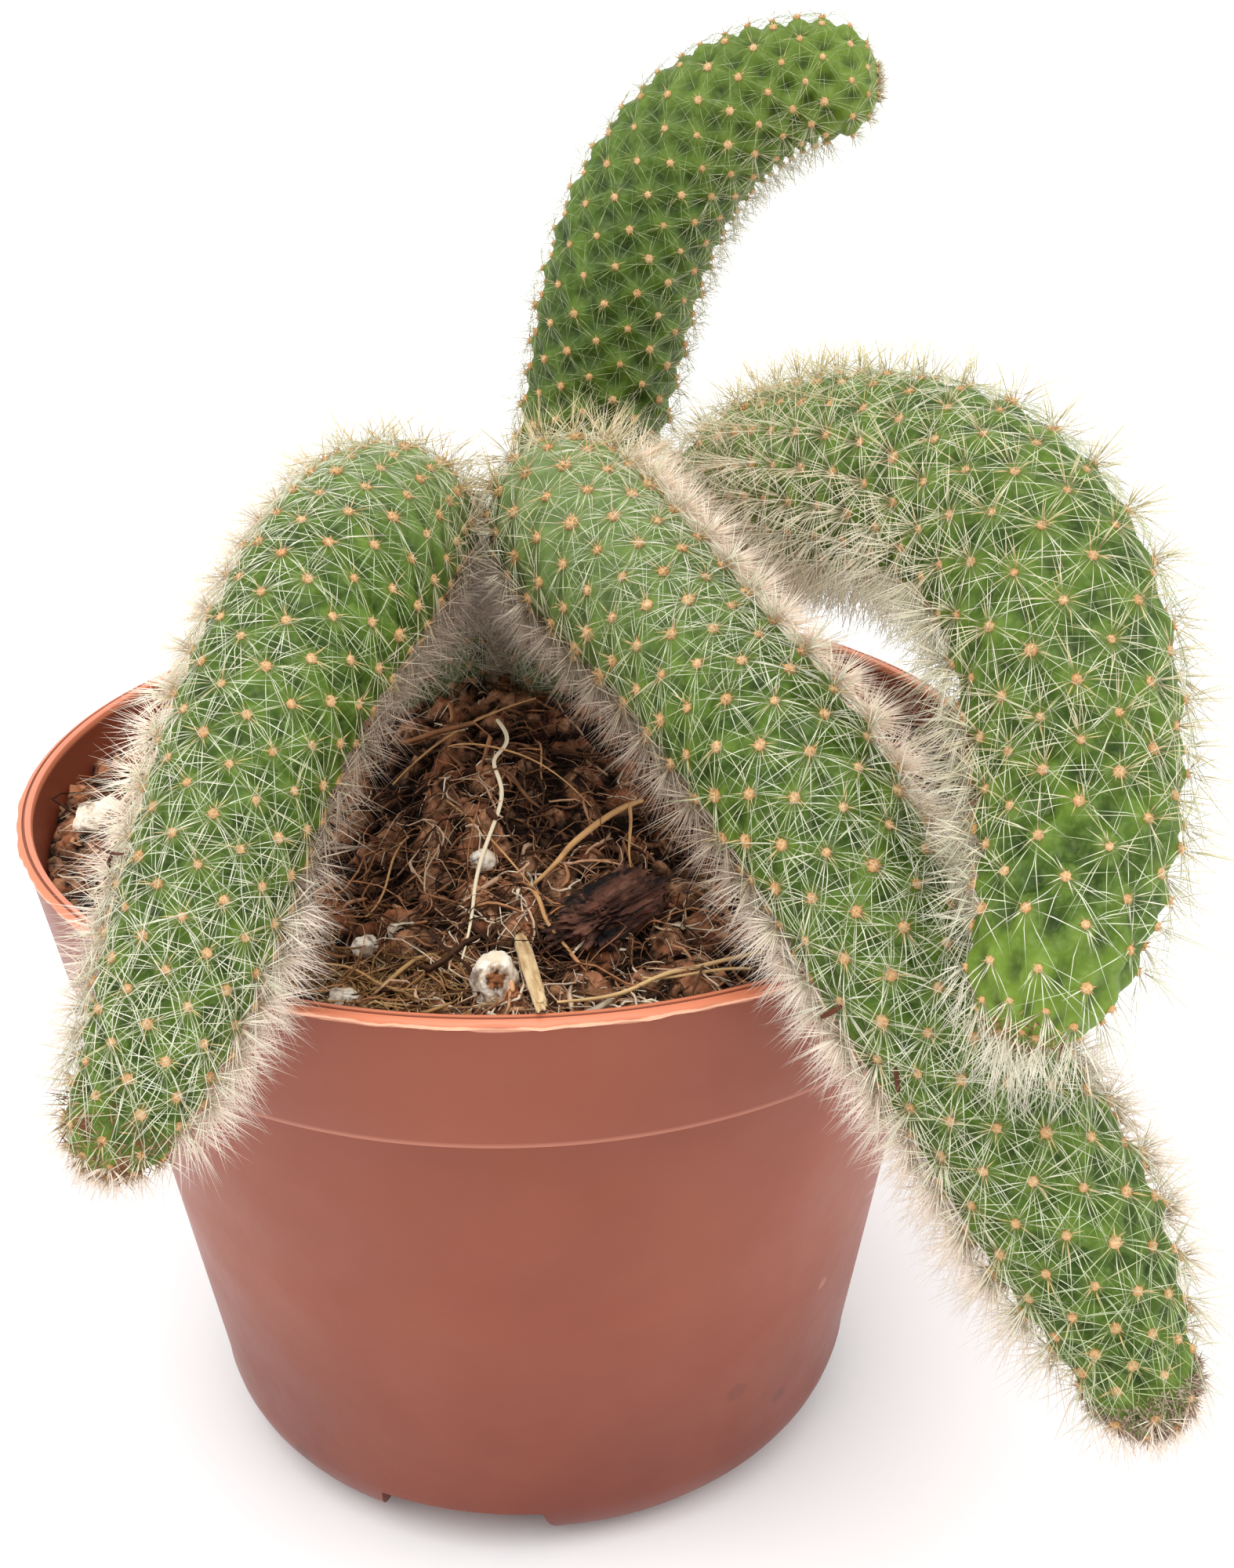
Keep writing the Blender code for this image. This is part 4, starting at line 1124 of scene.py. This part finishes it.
# goldenTurn spreads the hairs evenly round, size is in mm, and a share of the tufts is larger
tuftShape = {"cushion": 0.84, "hairs": 10, "goldenTurn": 2.399, "thick": 0.17,
             "size": (0.54, 0.7), "large": (0.16, 1.2)}


def woolPattern():
    # a small felt cushion hidden in short hairs that stand out all round
    bpy.ops.mesh.primitive_uv_sphere_add(segments=6, ring_count=3, radius=tuftShape["cushion"])
    cushion = bpy.context.object
    for vertex in cushion.data.vertices:
        vertex.co.z = vertex.co.z * 0.6 + 0.12
    hairs = [cushion]
    for part in range(tuftShape["hairs"]):
        turn = part * tuftShape["goldenTurn"]
        lean = 0.2 + 1.3 * (part / (tuftShape["hairs"] - 1)) ** 0.7
        reach = 0.95 + 0.35 * math.sin(part * 5.3)
        bpy.ops.mesh.primitive_cone_add(vertices=3, radius1=tuftShape["thick"], radius2=0, depth=reach)
        hair = bpy.context.object
        way = Vector((math.sin(lean) * math.cos(turn), math.sin(lean) * math.sin(turn), math.cos(lean)))
        middle = Vector((way.x * 0.4, way.y * 0.4, way.z * 0.25 + 0.12)) + way * reach / 2
        hair.matrix_world = Matrix.Translation(middle) @ way.to_track_quat("Z", "Y").to_matrix().to_4x4()
        hairs.append(hair)
    item = joined(hairs[::-1])
    applyPlace(item)
    return patternOf(item)


# what spines keep clear by, and the pot's inner radius at the soil
room = {"pot": 0.1, "soil": 0.2, "stem": 0.15, "inside": 50.4}


def potReach(height):
    # the pot's outer radius at a height
    top, foot, corner = pot["height"] - 1.0, pot["height"] - pot["collarHeight"], pot["cornerRadius"]
    high = np.clip((height / mm - foot) / (top - foot), 0, 1)
    collar = pot["collarFoot"] + (pot["lipOut"] - pot["collarFoot"]) * high
    base = pot["cornerCentre"] + corner
    wall = base + (pot["shoulder"] - base) * np.clip((height / mm - corner) / (foot - 1.0 - corner), 0, 1)
    return np.where(height > foot * mm, collar, wall) * mm


def roomFor(points, others):
    # whether points are clear of the pot, the soil and the other stems
    out, height = np.hypot(points[:, 0], points[:, 1]), points[:, 2]
    inside, underCollar = room["inside"] * mm, (pot["height"] - pot["collarHeight"]) * mm
    inReach = out < potReach(height) + room["pot"] * mm
    inPot = (height < (pot["height"] + room["pot"]) * mm) & inReach & (out > inside)
    mound = soil["level"] * mm + soil["mound"] * mm * np.exp(-(out / (soil["spread"] * mm)) ** 2)
    inSoil = (out < inside) & (height < mound - room["soil"] * mm)
    clear = ~(inPot | inSoil | (height < underCollar) & inReach)
    batch = 4000
    for line in others:
        for low in range(0, len(points), batch):
            part = points[low:low + batch]
            gaps = np.linalg.norm(part[:, None, :] - line[None, :, :3], axis=2) - line[None, :, 3]
            clear[low:low + batch] &= gaps.min(axis=1) > room["stem"] * mm
    return clear


def tryRoom(root, run, bow, others):
    # the share of each spine that has room, or 0 for one that has none
    keep = np.zeros(len(root))
    for share in (1.0, 0.8, 0.6, 0.4):
        tipFree = roomFor(root + run * share + bow * share ** 2, others)
        middleFree = roomFor(root + run * share * 0.6, others)
        keep = np.where((keep == 0) & tipFree & middleFree, share, keep)
    return keep


def spinesOf(stem, areoles):
    # every spine's kind and the place and directions of its areole
    radial, central, short, beard = stem["counts"]
    each = radial + central + short + beard
    which = np.repeat(np.arange(len(areoles)), each)
    order = np.tile(np.arange(each), len(areoles))
    normal, forward = areoles[which, 3:6], areoles[which, 6:9]
    forward = unit(forward - normal * np.sum(forward * normal, axis=1)[:, None])
    return {
        "order": order, "isRadial": order < radial,
        "isCentral": (order >= radial) & (order < radial + central),
        "isShort": (order >= radial + central) & (order < radial + central + short),
        "spot": areoles[which, 0:3], "normal": normal, "forward": forward,
        "across": np.cross(normal, forward), "along": areoles[which, 9], "lean": areoles[which, 10],
    }


def lightOn(stem, normal, along):
    # the sides and the underside, which face away from the light, are bearded
    hidden = np.clip(0.62 - normal @ np.array(stem["shine"]), 0, 1)
    # and one of the stem's two sides more than the other
    more, since, until = stem["side"]
    uneven = more * normal[:, 0] * np.clip((until - along) / 0.06, 0, 1)
    uneven = np.where(uneven < 0, uneven * np.clip((along - since) / 0.08, 0, 1), uneven)
    oneSide = np.clip(1 + uneven, 0.1, 1.8)
    beardShare = hidden * oneSide * np.interp(along, *zip(*stem["beard"]))
    cover = np.interp(along, *zip(*stem["cover"])) * np.clip(0.5 + 0.5 * oneSide, 0, 1)
    # on the crown of the arch the spines stand up, longer and golden
    peak, crowned = stem["crown"]
    crown = crowned * np.clip(1.4 - np.abs(along - peak) / 0.1, 0, 1) * np.clip(normal[:, 2] + 0.5, 0, 1)
    return hidden, oneSide, beardShare, cover, crown


# each kind's rise from the skin in degrees, and its length and half width in mm
spineKinds = {
    "radial": {"rise": (3, 19), "long": 4.7, "uneven": (0.72, 1.12), "thick": 0.05},
    "central": {"long": (4.2, 6.2), "thick": 0.056},
    "short": {"rise": (15, 60), "long": (1.4, 2.5), "thick": 0.075},
    "beard": {"rise": (34, 88), "long": (3.7, 6.3), "thick": 0.056},
}


def growSpines(name, stem, areoles, others, pattern, finish):
    rng = np.random.default_rng(stem["seed"])
    spines = spinesOf(stem, areoles)
    isRadial, isCentral, isShort = (spines[key] for key in ("isRadial", "isCentral", "isShort"))
    normal, across, along, lean = (spines[key] for key in ("normal", "across", "along", "lean"))
    hidden, oneSide, beardShare, cover, crown = lightOn(stem, normal, along)
    total, brush = len(along), stem["brush"]
    upright = rng.uniform(0, 1, total) < 0.4
    # radial spines are spread evenly all round, closer towards the tip than back to the foot
    even = (spines["order"] + rng.uniform(-0.45, 0.45, total)) / stem["counts"][0] * 2 - 1
    turn = np.where(isRadial, even, rng.uniform(-1, 1, total))
    turn = math.pi * np.sign(turn) * np.abs(turn) ** 1.2 + rng.uniform(-0.12, 0.12, total)
    sideways, ahead = np.abs(np.sin(turn)), np.maximum(np.cos(turn), 0)
    radial, central, short, beard = (spineKinds[kind] for kind in ("radial", "central", "short", "beard"))
    flatRise = rng.uniform(*radial["rise"], total) - 13 * sideways * (1 - hidden)
    rises = [flatRise, rng.uniform(*stem["upright"], total), rng.uniform(*short["rise"], total)]
    rise = np.select([isRadial, isCentral, isShort], rises, rng.uniform(*beard["rise"], total))
    rise = np.radians(np.minimum(rise + 14 * hidden * isRadial + 12 * lean + 42 * crown * upright, 90))
    radialLong = rng.uniform(*radial["uneven"], total) * (radial["long"] + 1.2 * sideways + 1.3 * ahead)
    longs = [radialLong, rng.uniform(*central["long"], total), rng.uniform(*short["long"], total)]
    long = np.select([isRadial, isCentral, isShort], longs, rng.uniform(*beard["long"], total))
    long = long * stem["spine"] * (1 - 0.58 * lean * (1 - brush)) * (1 + 0.25 * crown * upright)
    flat = spines["forward"] * np.cos(turn)[:, None] + across * np.sin(turn)[:, None]
    way = normal * np.sin(rise)[:, None] + flat * np.cos(rise)[:, None]
    # beards and the brush at a tip hang down
    hang = 0.3 * hidden * ~isShort * (1 - lean) + 1.1 * brush * np.clip((along - 0.93) / 0.05, 0, 1)
    way = unit(way + np.outer(hang * rng.uniform(0.3, 1, total), (0.0, 0.0, -1.0)))
    way = unit(way + normal * np.clip(0.12 - np.sum(way * normal, axis=1) - 0.2 * sideways, 0, 1)[:, None])
    root = spines["spot"] + flat * (rng.uniform(0.05, 0.35, total) * mm)[:, None] + normal * (0.05 * mm)
    run = way * (long * mm)[:, None]
    droop = rng.normal(0, 0.12, total) * long * mm
    sink = -0.01 * long * mm - np.abs(rng.normal(0, 0.04, total)) * long * mm
    bow = normal * sink[:, None] + across * droop[:, None]
    bow[:, 2] -= 0.1 * long * mm
    keep = tryRoom(root, run, bow, others)
    share = np.where(isShort, 1.0, np.where(isRadial | isCentral, cover, beardShare))
    good = (keep > 0) & (rng.uniform(0, 1, total) < share)
    run, bow = run * keep[:, None], bow * keep[:, None]
    thicks = [short["thick"], central["thick"], radial["thick"]]
    thick = np.select([isShort, isCentral, isRadial], thicks, beard["thick"])
    thick = thick * rng.uniform(0.8, 1.2, total) * stem["thick"] * mm
    sideA, sideB = sidesOf(run, rng.uniform(0, math.tau, total))
    places = {"root": root, "run": run, "bow": bow,
              "sideA": sideA * thick[:, None], "sideB": sideB * thick[:, None]}
    gold = np.select([isShort, isCentral], [0.8, stem["gold"]], stem["gold"] * 0.2)
    gold = gold + rng.uniform(-0.1, 0.15, total)
    gold = gold * (1 - 0.8 * brush * np.clip((along - 0.9) / 0.05, 0, 1)) + (0.12 + 0.6 * upright) * crown
    # shaded and glow carry painted light and shade: cream hair on the shaded side, a glow on the fuller side,
    # browner on the side a neighbour shades
    shaded = np.clip(hidden * 2.0, 0, 1)
    labels = {"tone": rng.uniform(*stem["bright"], total) - 1.2 * (1 - cover) * (1 - brush),
              "gold": np.clip(gold * (1 - 0.6 * hidden), 0, 1), "shaded": shaded * stem["cream"],
              "glow": np.clip(oneSide - 1, -0.9, 0.8) * shaded}
    kept = [{key: value[good] for key, value in part.items()} for part in (places, labels)]
    return finishPiece(stampCopies(name, pattern, *kept), name, "stem", finish)


# a hair's length as a share of the stem's own, its half width in mm and how deep its root is sunk
feltHair = {"long": (0.5, 1.45), "thick": (0.05, 0.09), "sunk": 0.15}


def growFelt(name, stem, rows, pattern, finish):
    # a cap of short matted hair on the tip
    rng = np.random.default_rng(stem["seed"] + 200)
    count, start, tall = stem["felt"]
    last = np.nonzero(rows["lean"] == 0)[0][-1]
    ahead, sideA = unit(rows["tangent"][last]), rows["sideA"][last]
    sideB = np.cross(ahead, sideA)
    top, tip = rows["centre"][last], rows["centre"][-1]
    turn = rng.uniform(0, math.tau, count)
    rise = rng.uniform(math.sin(math.radians(start)), 1, count)
    fall = np.sqrt(1 - rise ** 2)
    out = sideA * np.cos(turn)[:, None] + sideB * np.sin(turn)[:, None]
    normal = unit(out * fall[:, None] + ahead * rise[:, None])
    root = top + np.outer(rise, tip - top) + out * (fall * rows["radius"][last])[:, None]
    root = root - normal * (feltHair["sunk"] * mm)
    way = unit(normal * rng.uniform(0.15, 0.9, count)[:, None] + rng.normal(0, 0.6, (count, 3)))
    long = rng.uniform(*feltHair["long"], count) * tall * mm
    run = way * long[:, None]
    spin, over = sidesOf(run, rng.uniform(0, math.tau, count))
    thick = rng.uniform(*feltHair["thick"], count) * mm
    bow = rng.normal(0, 0.3, (count, 3)) * long[:, None]
    places = {"root": root, "run": run, "bow": bow,
              "sideA": spin * thick[:, None], "sideB": over * thick[:, None]}
    item = stampCopies(name, pattern, places, {"tone": rng.uniform(0, 1, count)})
    return finishPiece(item, name, "stem", finish)


def growWool(name, stem, areoles, pattern, finish):
    rng = np.random.default_rng(stem["seed"] + 100)
    count = len(areoles)
    spot, normal = areoles[:, 0:3], areoles[:, 3:6]
    share, larger = tuftShape["large"]
    size = rng.uniform(*tuftShape["size"], count) * np.where(rng.uniform(0, 1, count) < share, larger, 1.0)
    size = size * stem["wool"] * (1 - 0.25 * areoles[:, 10]) * mm
    # broader towards the foot, where the areoles are older
    size = size * np.interp(areoles[:, 9], (0.3, 0.7), (1.25, 1.0))
    sideA, sideB = sidesOf(normal, rng.uniform(0, math.tau, count))
    places = {"root": spot - normal * (0.12 * mm), "run": normal * size[:, None],
              "sideA": sideA * size[:, None], "sideB": sideB * size[:, None]}
    item = stampCopies(name, pattern, places, {"tone": rng.uniform(0, 1, count)})
    return finishPiece(item, name, "stem", finish)


def spineFinish():
    finish, tree, shader = newFinish("cactus spine", 0.45, 0.4)[:3]
    reach, tone, gold, glow = (ownLabel(tree, label) for label in ("reach", "tone", "gold", "glow"))
    pale = mixColour(tree, ramp(tree, tone, -1.0, 0.0), srgb(118, 138, 88), srgb(178, 198, 146))
    pale = mixColour(tree, ramp(tree, tone, 0.0, 1.0), pale, srgb(252, 250, 234))
    # the hair on the shaded side is cream, partly its own colour and partly painted light let through it
    pale = mixColour(tree, ownLabel(tree, "shaded"), pale, srgb(255, 238, 222))
    # painted shade: browner on the side of a stem that its neighbour shades
    pale = mixColour(tree, ramp(tree, glow, 0.0, -0.8, 0.0, 0.65), pale, srgb(144, 114, 90))
    yellow = mixColour(tree, reach, srgb(204, 160, 92), srgb(228, 210, 152))
    shade = mixColour(tree, gold, pale, yellow)
    shade = mixColour(tree, ramp(tree, reach, 0.12, 0.0, 0.0, 0.5), shade, srgb(206, 166, 108))
    feed(tree, shade, shader, "Base Color")
    # painted glow: emission on the hair of the fuller side stands for light from behind let through the fine
    # hair
    feed(tree, mixColour(tree, glow, (0.0, 0.0, 0.0, 1.0), srgb(255, 226, 206)), shader, "Emission Color")
    shader.inputs["Emission Strength"].default_value = 0.3
    return finish


def feltFinish(name, dark, pale):
    finish, tree, shader = newFinish(name, 0.95, 0.1)[:3]
    feed(tree, mixColour(tree, ownLabel(tree, "tone"), dark, pale), shader, "Base Color")
    return finish


def woolFinish():
    finish, tree, shader, place = newFinish("areole wool", 0.95, 0.1)
    tone = ownLabel(tree, "tone")
    shade = mixColour(tree, tone, srgb(220, 166, 108), srgb(236, 194, 142))
    shade = mixColour(tree, ramp(tree, ownLabel(tree, "reach"), 0.3, 1.0), shade, srgb(244, 216, 176))
    dark = ramp(tree, noiseNode(tree, place, 2600.0, 2.0), 0.45, 0.65, 0.0, 0.35)
    shade = mixColour(tree, dark, shade, srgb(188, 130, 76))
    feed(tree, shade, shader, "Base Color")
    feedBump(tree, noiseNode(tree, place, 5200.0, 2.0), shader, 0.8, 0.0003)
    return finish


# one pattern and one finish of each kind serve all four stems
allRows = {name: sweepRows(stem) for name, stem in stems.items()}
needle, tuft = spinePattern(), woolPattern()
spineLook, woolLook = spineFinish(), woolFinish()
feltLooks = {"brown": feltFinish("dry brown felt", srgb(112, 72, 44), srgb(202, 166, 120)),
             "grey": feltFinish("grey brown felt", srgb(134, 108, 92), srgb(212, 190, 170))}
for name, stem in stems.items():
    rows = allRows[name]
    others = [allRows[other]["line"][::4] for other in stems if other != name]
    areoles = areolesOf(stem, rows)
    finishPiece(buildSkin(stem, rows), name + "_skin", "stem", skinFinish(name + " skin", stem), name)
    growWool(name + "_wool", stem, areoles, tuft, woolLook)
    growFelt(name + "_felt", stem, rows, needle, feltLooks[stem["feltLook"]])
    growSpines(name + "_spines", stem, areoles, others, needle, spineLook)
    print(name, "made with", len(areoles), "areoles")


# floor, light and camera

def buildStage():
    bpy.ops.mesh.primitive_plane_add(size=14, location=(0, 0, -0.0002))
    floor = bpy.context.object
    applyPlace(floor)
    floor.name = "floor"
    finish = newFinish("pale floor", 0.8, 0.2)[0]
    finish.node_tree.nodes["Principled BSDF"].inputs["Base Color"].default_value = (0.95, 0.95, 0.95, 1)
    floor.data.materials.append(finish)


# tilt and turn in degrees, strength, and how wide the light is in degrees
lights = {
    "soft sun": (22, -12, 2.1, 50), "left glow": (72, -78, 0.7, 60),
    "right glow": (72, 78, 1.2, 60), "back glow": (62, 180, 0.6, 60),
}
roomLight = 0.72


def softSun(name, tilt, turn, strength, angle):
    bpy.ops.object.light_add(type="SUN", rotation=(math.radians(tilt), 0, math.radians(turn)))
    lamp = bpy.context.object
    lamp.name = name
    lamp.data.energy = strength
    lamp.data.angle = math.radians(angle)


# the camera of the photo, from its fit to the pot's outlines, in mm and degrees
view = {"place": (17.86, -199.67, 167.36), "down": 24.84, "turn": -2.14, "roll": -0.54, "lens": 46.8}


def placeCamera():
    down, turn, roll = (math.radians(view[key]) for key in ("down", "turn", "roll"))
    ahead = Vector((math.sin(turn) * math.cos(down), math.cos(turn) * math.cos(down), -math.sin(down)))
    level = Vector((math.cos(turn), -math.sin(turn), 0))
    upright = level.cross(ahead)
    right = math.cos(roll) * level + math.sin(roll) * upright
    up = math.cos(roll) * upright - math.sin(roll) * level
    bpy.ops.object.camera_add(location=Vector(view["place"]) * mm)
    camera = bpy.context.object
    camera.rotation_euler = Matrix((right, up, -ahead)).transposed().to_euler()
    camera.data.lens = view["lens"]
    camera.data.sensor_width = 36
    camera.data.clip_start = 0.01
    camera.data.clip_end = 20
    bpy.context.scene.camera = camera


buildStage()
world = bpy.data.worlds.new("bright room")
world.use_nodes = True
world.node_tree.nodes["Background"].inputs[0].default_value = (1, 1, 1, 1)
world.node_tree.nodes["Background"].inputs[1].default_value = roomLight
bpy.context.scene.world = world
for name, light in lights.items():
    softSun(name, *light)
placeCamera()
bpy.context.scene.view_settings.view_transform = "Standard"
print("stage set")
